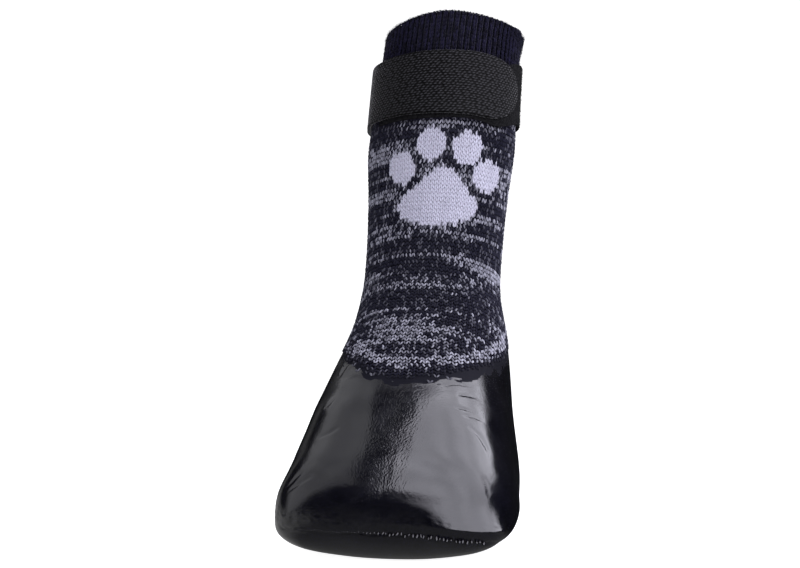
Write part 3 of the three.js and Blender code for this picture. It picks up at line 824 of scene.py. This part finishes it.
def relaxed(points, steps):
    """Rounds the toe: there each point moves towards the middle of its four neighbours."""
    for _ in range(steps):
        ring = points[:, :-1]
        middle = ring.copy()
        left = np.roll(ring, 1, axis=1)[1:-1]
        right = np.roll(ring, -1, axis=1)[1:-1]
        middle[1:-1] = (ring[:-2] + ring[2:] + left + right) / 4
        middle[-1] = ring[-2].mean(axis=0)
        ring = ring + (middle - ring) * toe_weight * 0.6
        points = np.concatenate([ring, ring[:, :1]], axis=1)
    return points


sharp = coat
coat = relaxed(sharp, ROUNDING)
coat = coat + relaxed(sharp - coat, ROUNDING)
down = np.gradient(coat, axis=0)
around = np.roll(coat[:, :-1], -1, axis=1) - np.roll(coat[:, :-1], 1, axis=1)
around = np.concatenate([around, around[:, :1]], axis=1)
out = np.cross(down, around)
out = out / np.maximum(np.linalg.norm(out, axis=2, keepdims=True), 1e-12)
out[-1] = (0, -1, 0)

# Relief of the coat: streaks down the foot, a net of fine wrinkles and slow lumps.
height = coat[..., 2]
coat_row = np.concatenate([coat_row, np.full((CAP_ROWS, COLUMNS + 1), float(TIP))])
below_edge = np.concatenate([below_edge, np.full((CAP_ROWS, COLUMNS + 1), 0.1)])
wale_u = np.broadcast_to(lap * WALES, height.shape)
at_edge = np.exp(-below_edge / SOAK_LENGTH)
off_toe = np.clip((len(coat) - 50 - np.arange(len(coat))) / 30, 0, 1)[:, None]
ridge = np.exp(-((np.degrees(turn) - 6) / 15) ** 2)[None] * np.clip((0.052 - below_edge) / 0.030, 0.25, 1)
streaks = cloud(wale_u, below_edge / 0.0045, 31, WALES)
net = cloud(wale_u / 4, below_edge / 0.0012, 32, WALES // 4)
lumps = cloud(wale_u / 7, below_edge / 0.011, 33, WALES // 7)
relief = streaks * (0.000012 + 0.000022 * ridge + 0.00003 * at_edge)
relief = (relief + net * (0.000006 + 0.00004 * at_edge) + lumps * 0.00004) * off_toe

# Creases placed one by one: depth (a ridge is below zero) and half width in millimetres, and three places
# on the foot, each an angle in degrees and a row.
CREASES = [
    (-0.30, 0.55, (-43.0, 8.47), (-42.0, 8.18), (-32.0, 8.18)),
    (-0.30, 0.55, (-36.5, 8.80), (-35.5, 8.43), (-28.0, 8.38)),
    (-0.26, 0.55, (-33.0, 8.97), (-30.5, 8.62), (-23.0, 8.62)),
    (-0.20, 0.60, (-29.5, 9.08), (-24.0, 8.95), (-17.5, 9.03)),
    (0.22, 0.60, (-24.0, 10.80), (-29.0, 10.95), (-35.5, 11.00)),
    (0.16, 0.60, (-30.5, 9.73), (-34.0, 10.00), (-36.0, 10.05)),
    (0.20, 0.70, (-35.5, 12.35), (-45.5, 12.43), (-57.5, 12.45)),
    (0.18, 0.70, (-42.0, 12.08), (-51.0, 12.23), (-60.0, 12.33)),
    (0.12, 0.50, (24.5, 9.33), (32.0, 9.10), (39.0, 9.03)),
    (0.13, 0.50, (31.5, 9.55), (36.0, 9.45), (41.5, 9.35)),
    (0.12, 0.50, (30.0, 10.05), (34.5, 10.03), (40.0, 9.98)),
    (0.14, 0.50, (34.0, 10.25), (38.5, 10.18), (44.5, 10.12)),
    (0.22, 0.60, (36.0, 10.50), (41.5, 10.65), (47.5, 10.98)),
    (0.12, 0.50, (40.5, 10.55), (44.5, 10.73), (48.5, 11.12)),
    (0.14, 0.60, (48.5, 11.93), (54.0, 12.12), (60.0, 12.38)),
    (0.18, 0.80, (60.0, 7.90), (74.0, 8.10), (88.0, 8.45)),
    (0.14, 0.70, (58.0, 8.30), (70.0, 8.50), (82.0, 8.80)),
    (0.18, 1.20, (150.0, 7.20), (164.0, 7.30), (178.0, 7.45)),
    (0.16, 1.20, (-176.0, 7.50), (-162.0, 7.30), (-148.0, 7.15)),
    (0.12, 1.00, (120.0, 7.60), (131.0, 7.80), (142.0, 8.10)),
    (0.12, 1.00, (-140.0, 8.10), (-129.0, 7.80), (-118.0, 7.60)),
]
GIRTH_MM = 30.0
ROW_MM = 11.0
for depth, half, *places in CREASES:
    trough = np.zeros_like(height)
    for k in (0, 1):
        (angle_a, row_a), (angle_b, row_b) = places[k:k + 2]
        along = np.radians(np.degrees(turn)[None] - angle_a) * GIRTH_MM
        across = (coat_row - row_a) * ROW_MM
        run = math.radians(angle_b - angle_a) * GIRTH_MM
        fall = (row_b - row_a) * ROW_MM
        share = np.clip((along * run + across * fall) / (run ** 2 + fall ** 2), 0, 1)
        away = np.hypot(along - share * run, across - share * fall)
        fade = np.sin(math.pi / 2 * np.clip(share if k == 0 else 1 - share, 0, 1)) ** 0.6
        trough = np.maximum(trough, np.exp(-(away / half) ** 2) * fade)
    relief = relief - depth * 0.001 * trough

# The toe seam: the coat swells out level towards it from above, most at the right, and drops away below it.
SEAM_SWELL = 0.0040
SEAM_UP = 0.00945
SEAM_BEND = 3.1
SEAM_HALF = 0.0265
TOE_FROM_RIGHT = -0.042
TOE_FROM_LEFT = -0.030
KNOB_SIZE = 0.00075
GROOVE_DEEP = 0.00030
GROOVE_HALF = 0.0005
GATHER_HIGH = 0.00010
right = coat[..., 0] > 0
toe_right = (TOE_FROM_RIGHT - coat[..., 1]) / 0.010
toe_left = (TOE_FROM_LEFT - coat[..., 1]) / 0.014
on_toe = eased(np.where(right, toe_right, toe_left))
knobs = cloud((coat[..., 0] + 0.05) / KNOB_SIZE, height / KNOB_SIZE, 41, 512)
off_seam = height - SEAM_UP + SEAM_BEND * np.maximum(coat[..., 0], 0) ** 2
at_end = eased((np.abs(coat[..., 0]) - 0.010) / 0.012)
swell = SEAM_SWELL * (0.08 + np.where(right, 0.92, 0.395) * at_end)
above_right = np.clip(1 - (off_seam - 0.0025) / 0.007, 0, 1) ** 1.8
above_left = np.clip(1 - (off_seam + 0.003) / 0.016, 0, 1) ** 1.2
drop = np.clip(np.where(right, -off_seam / 0.008, (-off_seam - 0.003) / 0.006), 0, 1) ** 4
ledge = np.where(right, above_right, above_left) * (1 - drop)
groove = np.exp(-((off_seam + GROOVE_HALF + 0.0003 * knobs) / GROOVE_HALF) ** 2)
relief = relief - on_toe * GROOVE_DEEP * groove * (np.abs(coat[..., 0]) < SEAM_HALF)
drawn = cloud((coat[..., 0] + 0.05) / 0.0009, height / 0.0030, 42, 512)
relief = relief + on_toe * GATHER_HIGH * (knobs + drawn) * np.exp(-((off_seam - 0.0020) / 0.0026) ** 2)
level = out * np.array([1, 1, 0])
level = level / np.maximum(np.linalg.norm(level, axis=2, keepdims=True), 1e-9)
coat = coat + out * relief[..., None] + level * (on_toe * swell * ledge)[..., None]
coat[..., 2] = np.maximum(coat[..., 2], 0)
coat[:, -1] = coat[:, 0]
# The inside of the coat, and the whole cup as one shaped grid.
lining_row = edge_row + (TIP - edge_row) * np.linspace(0, 1, 24)[:, None]
lining_turn = np.broadcast_to(turn, lining_row.shape)
lining = sock_skin(lining_row, lining_turn) + sock_out(lining_row, lining_turn) * -0.00025
lining[..., 2] = np.maximum(lining[..., 2], SOLE_WALL)
lining_toe = np.broadcast_to(lining[-1].mean(axis=0), (1, COLUMNS + 1, 3))
soaked = np.concatenate([at_edge[::-1], np.ones((len(lining) + 1, COLUMNS + 1))])
# Places on the coat counted in stitches: round the foot as a circle, and down from the edge.
girth = WALES / math.pi
weave = np.stack([np.sin(turn) * girth + 0 * height, np.cos(turn) * girth + 0 * height,
                  below_edge / COURSE * 1.6], axis=-1)
hidden = np.zeros((len(lining) + 1, COLUMNS + 1))
weave = np.concatenate([weave[::-1], np.repeat(hidden[..., None], 3, axis=2)])
stretched = np.concatenate([(0.30 + 0.70 * ridge)[::-1], hidden])
rubber = shaped_grid("rubber_coat", np.concatenate([coat[::-1], lining, lining_toe]),
                     {"soaked": soaked, "weave": weave, "stretched": stretched})

rubber_gloss, tree, surface = new_finish("dipped_rubber")
surface.inputs["IOR"].default_value = 1.75
place = tree.nodes.new("ShaderNodeTexCoord")
mottle = tree.nodes.new("ShaderNodeTexNoise")
set_values(mottle, {"Scale": 220, "Detail": 4})
tree.links.new(place.outputs["Object"], mottle.inputs["Vector"])
tone = tree.nodes.new("ShaderNodeValToRGB")
tone.color_ramp.elements[0].color = (0.0008, 0.0008, 0.0020, 1)
tone.color_ramp.elements[1].color = (0.0026, 0.0026, 0.0062, 1)
tree.links.new(mottle.outputs["Fac"], tone.inputs["Fac"])
tree.links.new(tone.outputs["Color"], surface.inputs["Base Color"])
dull = tree.nodes.new("ShaderNodeMapRange")
set_values(dull, {"From Min": 0.35, "From Max": 0.70, "To Min": 0.14, "To Max": 0.21})
tree.links.new(mottle.outputs["Fac"], dull.inputs["Value"])
soak = tree.nodes.new("ShaderNodeAttribute")
soak.attribute_name = "soaked"
duller = tree.nodes.new("ShaderNodeMath")
duller.operation = "MULTIPLY_ADD"
duller.inputs[1].default_value = 0.30
tree.links.new(soak.outputs["Fac"], duller.inputs[0])
tree.links.new(dull.outputs["Result"], duller.inputs[2])
tree.links.new(duller.outputs["Value"], surface.inputs["Roughness"])
stitched = tree.nodes.new("ShaderNodeAttribute")
stitched.attribute_name = "weave"
fleck = tree.nodes.new("ShaderNodeTexNoise")
set_values(fleck, {"Scale": 1.5, "Detail": 1})
tree.links.new(stitched.outputs["Vector"], fleck.inputs["Vector"])
tight = tree.nodes.new("ShaderNodeAttribute")
tight.attribute_name = "stretched"
shown = tree.nodes.new("ShaderNodeMath")
shown.operation = "MULTIPLY"
tree.links.new(fleck.outputs["Fac"], shown.inputs[0])
tree.links.new(tight.outputs["Fac"], shown.inputs[1])
add_bump(tree, surface, shown.outputs["Value"], 0.28, 0.0003)
grit = use_group(tree, grain, place.outputs["Object"], {"Scale": 1400, "Detail": 3})
add_bump(tree, surface, grit.outputs["Height"], 0.08, 0.0003)
rubber.data.materials.append(rubber_gloss)

# At the edge the rubber has sunk into the stitches, one by one, and is as dull as they are.
soaked_edge, tree, surface = new_finish("soaked_edge")
set_values(surface, {"Base Color": (0.0038, 0.0038, 0.0080, 1), "Roughness": 0.75,
                     "Specular IOR Level": 0.12})
rubber.data.materials.append(soaked_edge)
mesh = rubber.data
corner = np.empty(len(mesh.loops), np.int32)
mesh.loops.foreach_get("vertex_index", corner)
first = np.empty(len(mesh.polygons), np.int32)
mesh.polygons.foreach_get("loop_start", first)
edge_share = np.empty(len(mesh.vertices), np.float32)
mesh.attributes["soaked"].data.foreach_get("value", edge_share)
stitch_place = np.empty(len(mesh.vertices) * 3, np.float32)
mesh.attributes["weave"].data.foreach_get("vector", stitch_place)
stitch_place = stitch_place.reshape(-1, 3)[corner[first]]
down_mm = -SOAK_LENGTH * 1000 * np.log(np.maximum(edge_share[corner[first]], 1e-4))
stitch_wale = np.arctan2(stitch_place[:, 0], stitch_place[:, 1]) / (2 * math.pi) * WALES
sunk = cloud(stitch_wale, down_mm / 0.9, 43, WALES)
to_right = np.clip(stitch_place[:, 0] / girth / 0.25, 0, 1)
mesh.polygons.foreach_set("material_index", (down_mm + 1.5 * sunk - 1.2 * to_right < 4.0).astype(np.int32))
mesh.update()
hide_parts("rubber_dip")
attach(rubber, "root")

# Stitches of the toe seam, proud of the coat and covered by it: short strokes down over the seam that lean
# out, smaller at the left, where the seam fades.
SEAM_LEFT = -0.0240
SEAM_RIGHT = 0.0266
SEAM_PITCH = 0.00098
SEAM_LONG = 0.0021
SEAM_WIDE = 0.00046
SEAM_HIGH = 0.00028
seam_across = np.arange(SEAM_LEFT, SEAM_RIGHT, SEAM_PITCH)
seam_across = seam_across + chance.normal(0, 0.00010, len(seam_across))
seam_up = SEAM_UP - SEAM_BEND * np.maximum(seam_across, 0) ** 2
seam_up = seam_up + chance.normal(0, 0.00012, len(seam_across))
front = coat[..., 1] < -0.040
toe_points = coat[front]
toe_out = out[front]
nearest = []
for x, z in zip(seam_across, seam_up):
    nearest.append(np.argmin((toe_points[:, 0] - x) ** 2 + (toe_points[:, 2] - z) ** 2))
middle = toe_points[nearest]
out_of_toe = unit(toe_out[nearest] * np.array([1, 1, 0]))
sideways = np.cross(out_of_toe, np.array([0, 0, 1.0]))
lean = chance.normal(0.70, 0.10, len(middle))[:, None]
slant = chance.normal(0.25, 0.20, len(middle))[:, None]
along_stitch = unit(out_of_toe * np.sin(lean) - np.array([0, 0, 1.0]) * np.cos(lean) + sideways * slant)
across_stitch = unit(np.cross(along_stitch, np.cross(sideways, along_stitch)))
face = np.cross(across_stitch, along_stitch)
small = np.interp(seam_across, (-0.008, 0.006), (0.35, 1.0))
size = (chance.uniform(0.7, 1.2, len(middle)) * small)[:, None, None]
reach = (LEG_T[:, None] - 0.40) * SEAM_LONG
ring = across_stitch[:, None] * SEAM_WIDE * np.cos(LEG_SPIN)[:, None]
ring = ring + face[:, None] * SEAM_HIGH * np.sin(LEG_SPIN)[:, None]
knobs = middle[:, None] + (along_stitch[:, None] * reach + ring * LEG_RING[:, None]) * size
seam_stitches = joined_mesh("seam_stitches", knobs, LEG_FACES, np.full((len(knobs), 3), 0.002))
seam_stitches.data.materials.append(rubber_gloss)
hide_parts("rubber_dip")
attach(seam_stitches, "root")

# The strap's under tape
# Loop tape, pile side out: it lies round the right side and the back, and goes in under the front tape.
STRAP_TOP = 1.34
STRAP_BOTTOM = 2.585
TAPE_HALF = 0.010
LOOP_STAND_OFF = 0.0005
LOOP_THICK = 0.0010
# The under tape hangs lower at the front and shows below the over tape as a black strip: partly its real
# edge, partly painted shade where the over tape's shadow falls.
LOOP_DROP = 0.0012
LOOP_RISE = 0.0008
LOOP_HANG = 0.0023
STRAP_FLARE = 0.0015
STRAP_SAG = 0.0015


def strap_frame(angle):
    """Middle of the strap on the leg, with the directions across the tape and out of it."""
    top_row = np.full_like(angle, STRAP_TOP)
    flare = STRAP_FLARE * np.maximum(0, -np.sin(angle))
    top = sock_skin(top_row, angle) + sock_out(top_row, angle) * flare[..., None]
    bottom = sock_skin(np.full_like(angle, STRAP_BOTTOM), angle)
    middle_row = np.full_like(angle, (STRAP_TOP + STRAP_BOTTOM) / 2)
    around = sock_skin(middle_row, angle + 1e-3) - sock_skin(middle_row, angle - 1e-3)
    down = unit(bottom - top)
    return (top + bottom) / 2, down, unit(np.cross(down, around))


def tape_piece(name, angles, half_widths, stand_offs, thick, drop, face_points, face_relief):
    """A tape round the leg: a closed section carried along the angles, with relief on its outer face.
    Its attribute named tape holds each point's place along and across the tape."""
    middle, down, out = strap_frame(angles)
    middle = middle + down * drop[:, None]
    edge_points = 2
    under_points = 9
    across = np.concatenate([np.linspace(-1, 1, face_points), np.ones(edge_points),
                             np.linspace(1, -1, under_points), -np.ones(edge_points + 1)])
    level = np.concatenate([np.full(face_points, 0.5), [0.25, -0.25],
                            np.full(under_points, -0.5), [-0.25, 0.25, 0.5]])
    bulge = np.where(np.abs(level) < 0.4, 0.00012, 0.0)
    arc = np.concatenate([[0], np.cumsum(np.linalg.norm(np.diff(middle, axis=0), axis=1))])
    v = across * half_widths[:, None] + np.sign(across) * bulge
    relief = face_relief(arc[:, None], v)
    relief[:, face_points:] = 0
    relief[:, -1] = relief[:, 0]
    lift = stand_offs[:, None] + thick / 2 + level * thick + relief
    points = middle[:, None] + down[:, None] * v[..., None] + out[:, None] * lift[..., None]
    first = np.broadcast_to(points[0].mean(axis=0), (1, len(across), 3))
    last = np.broadcast_to(points[-1].mean(axis=0), (1, len(across), 3))
    flat = np.stack([arc[:, None] + 0 * v, v, 0 * v], axis=-1)
    flat = np.concatenate([flat[:1], flat, flat[-1:]])
    return shaped_grid(name, np.concatenate([first, points, last]), {"tape": flat})


def pile_relief(along_tape, across_tape):
    """Low lumps of looped pile."""
    return 0.00010 * cloud(along_tape / 0.0009, across_tape / 0.0009 + 40, 51, 256)


def at_left(angle):
    """How much of the strap's sag at the left side is felt at an angle."""
    return np.maximum(0, -np.sin(angle)) ** 2


def loop_drop(angle):
    """How much lower than the strap's middle the under tape sits: across the front it shows below the over
    tape as a black strip, partly its real edge and partly painted shade where the over tape's shadow falls;
    it hangs slack at the over tape's end.
    """
    hang = LOOP_HANG * np.exp(-((np.degrees(angle) - 52) / 18) ** 2)
    lower = LOOP_DROP * np.cos(angle) - LOOP_RISE * np.maximum(0, np.sin(angle))
    return lower + STRAP_SAG * at_left(angle) + hang


# The under tape reaches round to the front-left, where its black strip below the over tape is painted
# shade.
LOOP_FROM = -48
LOOP_TO = 228
LOOP_STEPS = 300
LOOP_FACE_POINTS = 40
loop_turn = np.radians(np.linspace(LOOP_FROM, LOOP_TO, LOOP_STEPS))
loop_half = np.full(LOOP_STEPS, TAPE_HALF)
loop_off = np.full(LOOP_STEPS, LOOP_STAND_OFF)
loop_band = tape_piece("loop_tape", loop_turn, loop_half, loop_off, LOOP_THICK,
                       loop_drop(loop_turn), LOOP_FACE_POINTS, pile_relief)
loop_cloth, tree, cloth = new_finish("loop_tape")
set_values(cloth, {"Roughness": 0.95, "Specular IOR Level": 0.08})
place = tree.nodes.new("ShaderNodeAttribute")
place.attribute_name = "tape"
# The pile's loop heads: painted light on their tops, painted shade in the pits between.
knots = use_group(tree, loop_heads_and_pit_shade, place.outputs["Vector"],
                  {"Scale": 1300, "Top": (0.011, 0.011, 0.012, 1), "Shaded pit": (0.003, 0.003, 0.0035, 1)})
tree.links.new(knots.outputs["Colour"], cloth.inputs["Base Color"])
add_bump(tree, cloth, knots.outputs["Depth"], 0.8, 0.0004, invert=True)
loop_band.data.materials.append(loop_cloth)
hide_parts("strap_loop_band")
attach(loop_band, "root")
# Loose ends of the pile, where it shows.
PILE_FROM = 45
PILE_TO = 205
PILE_ENDS = 3000
THREAD_BLACK = 0.012
pile_turn = np.radians(chance.uniform(PILE_FROM, PILE_TO, PILE_ENDS))
middle, down, out = strap_frame(pile_turn)
across = chance.uniform(-TAPE_HALF, TAPE_HALF, PILE_ENDS)
start = middle + down * (across + loop_drop(pile_turn))[:, None] + out * (LOOP_STAND_OFF + LOOP_THICK)
pile_ends = loose_fibres(start, out, chance.uniform(0.0004, 0.0011, PILE_ENDS))
pile = joined_mesh("loop_pile", pile_ends, FIBRE_FACES, np.full((PILE_ENDS, 3), THREAD_BLACK))
pile.data.materials.append(navy_yarn)
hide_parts("strap_loop_band")
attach(pile, "root")

# The strap's over tape
# Woven hook tape, sewn to the under tape at the back: it comes round the left side and over the front, and
# its rounded end is pressed down on the pile. The back of its weave shows: slanted rows of small floats
# between ribbed edges.
HOOK_THICK = 0.0012
HOOK_FROM = -156
END_TURN = math.radians(69)
END_LENGTH = 0.0145
STRAP_RADIUS = 0.025
END_REACH = END_LENGTH / STRAP_RADIUS
END_POWER = 2.1
HOOK_PINCH = 0.0007
HOOK_END_DIP = 0.0008


def hook_stand_off(angle):
    """The over tape lies on the leg at the left, and climbs over the under tape at back and front."""
    back = eased((np.degrees(angle) + 130) / 24)
    front = eased((np.degrees(angle) + 78) / 24)
    climb = np.maximum(1 - back, front)
    return LOOP_STAND_OFF + (LOOP_THICK + GAP) * climb


def hook_drop(angle):
    """The over tape sags at the left, and its end dips."""
    return STRAP_SAG * at_left(angle) + HOOK_END_DIP * eased((np.degrees(angle) - 20) / 30)


FLOAT_PITCH = 0.00122
FLOAT_ROW = 0.00078
FLOAT_HIGH = 0.00007
SELVEDGE = 0.0015
SELVEDGE_RIB = 0.00070
SELVEDGE_HIGH = 0.00003


def float_relief(along_tape, across_tape):
    """Small raised floats in staggered rows, and a flat ribbed edge."""
    field = np.clip((TAPE_HALF - SELVEDGE - np.abs(across_tape + 0.0004)) / 0.0004, 0, 1)
    column = np.cos(2 * math.pi * along_tape / FLOAT_PITCH)
    row = np.cos(math.pi * across_tape / FLOAT_ROW)
    ribs = np.cos(2 * math.pi * along_tape / SELVEDGE_RIB)
    return FLOAT_HIGH * field * (column * row - 0.5) + SELVEDGE_HIGH * (1 - field) * (ribs - 1)


HOOK_FACE_POINTS = 88
straight_part = np.radians(np.linspace(HOOK_FROM, math.degrees(END_TURN - END_REACH), 400))[:-1]
rounded_part = END_TURN - END_REACH * (1 - np.sin(np.linspace(0, math.pi / 2, 90)) * 0.9995)
hook_turn = np.concatenate([straight_part, rounded_part])
from_end = np.clip((END_TURN - hook_turn) / END_REACH, 0, 1)
hook_half = TAPE_HALF * (1 - (1 - from_end) ** END_POWER) ** (1 / END_POWER)
hook_half = hook_half - HOOK_PINCH * at_left(hook_turn)
hook_tape = tape_piece("hook_tape", hook_turn, hook_half, hook_stand_off(hook_turn), HOOK_THICK,
                       hook_drop(hook_turn), HOOK_FACE_POINTS, float_relief)
hook_cloth, tree, cloth = new_finish("hook_tape")
set_values(cloth, {"Roughness": 0.50, "Specular IOR Level": 0.10, "Sheen Weight": 0.42,
                   "Sheen Roughness": 0.22})
place = tree.nodes.new("ShaderNodeAttribute")
place.attribute_name = "tape"
counted = tree.nodes.new("ShaderNodeVectorMath")
counted.operation = "MULTIPLY"
counted.inputs[1].default_value = (1 / FLOAT_PITCH, 1 / FLOAT_ROW, 1)
tree.links.new(place.outputs["Vector"], counted.inputs[0])
parted = tree.nodes.new("ShaderNodeSeparateXYZ")
tree.links.new(counted.outputs["Vector"], parted.inputs["Vector"])
shifted = tree.nodes.new("ShaderNodeMath")
shifted.operation = "MULTIPLY_ADD"
shifted.inputs[1].default_value = 0.5
tree.links.new(parted.outputs["Y"], shifted.inputs[0])
tree.links.new(parted.outputs["X"], shifted.inputs[2])
staggered = tree.nodes.new("ShaderNodeCombineXYZ")
tree.links.new(shifted.outputs["Value"], staggered.inputs["X"])
tree.links.new(parted.outputs["Y"], staggered.inputs["Y"])
floats = tree.nodes.new("ShaderNodeTexVoronoi")
floats.voronoi_dimensions = "2D"
set_values(floats, {"Scale": 1, "Randomness": 0.35})
tree.links.new(staggered.outputs["Vector"], floats.inputs["Vector"])
# Lighter on the floats, where light falls, and near black in the gaps between them: painted light and
# shade.
tone = tree.nodes.new("ShaderNodeValToRGB")
tone.color_ramp.elements[0].position = 0.12
tone.color_ramp.elements[0].color = (0.0300, 0.0300, 0.0330, 1)
tone.color_ramp.elements[1].position = 0.42
tone.color_ramp.elements[1].color = (0.0005, 0.0005, 0.0006, 1)
tree.links.new(floats.outputs["Distance"], tone.inputs["Fac"])
tree.links.new(tone.outputs["Color"], cloth.inputs["Base Color"])
add_bump(tree, cloth, floats.outputs["Distance"], 0.8, 0.0003, invert=True)
place = tree.nodes.new("ShaderNodeTexCoord")
speck = use_group(tree, grain, place.outputs["Object"], {"Scale": 1700, "Detail": 2})
add_bump(tree, cloth, speck.outputs["Height"], 0.3, 0.0002)
hook_tape.data.materials.append(hook_cloth)
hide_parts("strap_hook_tape")
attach(hook_tape, "root")

# The strap's sewing
# Where the over tape starts at the back, a sewn box with a cross holds both tapes to the cuff.
BOX_FROM = -153.5
BOX_TO = -136.5
BOX_HALF = 0.0078
THREAD_RADIUS = 0.00020
THREAD_STITCHES = 7
corners = [(BOX_FROM, -BOX_HALF), (BOX_TO, -BOX_HALF), (BOX_TO, BOX_HALF), (BOX_FROM, BOX_HALF)]
lines = [(corners[k], corners[(k + 1) % 4]) for k in range(4)]
lines += [(corners[0], corners[2]), (corners[1], corners[3])]
thread_legs = []
for (turn_a, across_a), (turn_b, across_b) in lines:
    ends = np.linspace(0, 1, THREAD_STITCHES + 1)
    share = ends[:-1, None] + (ends[1] * 0.96) * LEG_T[None]
    angle = np.radians(turn_a + (turn_b - turn_a) * share)
    middle, down, out = strap_frame(angle)
    across = (across_a + (across_b - across_a) * share)[..., None]
    top = hook_stand_off(angle) + HOOK_THICK + 0.0001 * np.sin(math.pi * LEG_T) + 0.00004
    path = middle + down * (across + hook_drop(angle)[..., None]) + out * top[..., None]
    wide = np.cross(out, unit(path[:, -1:] - path[:, :1]))
    ring = wide * np.cos(LEG_SPIN)[:, None] + out * np.sin(LEG_SPIN)[:, None]
    thread_legs.append(path + ring * (THREAD_RADIUS * LEG_RING)[:, None])
thread_legs = np.concatenate(thread_legs)
thread = joined_mesh("strap_thread", thread_legs, LEG_FACES, np.full((len(thread_legs), 3), THREAD_BLACK))
thread.data.materials.append(yarn_finish("sewing_thread", 0.0))
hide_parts("strap_hook_tape")
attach(thread, "root")
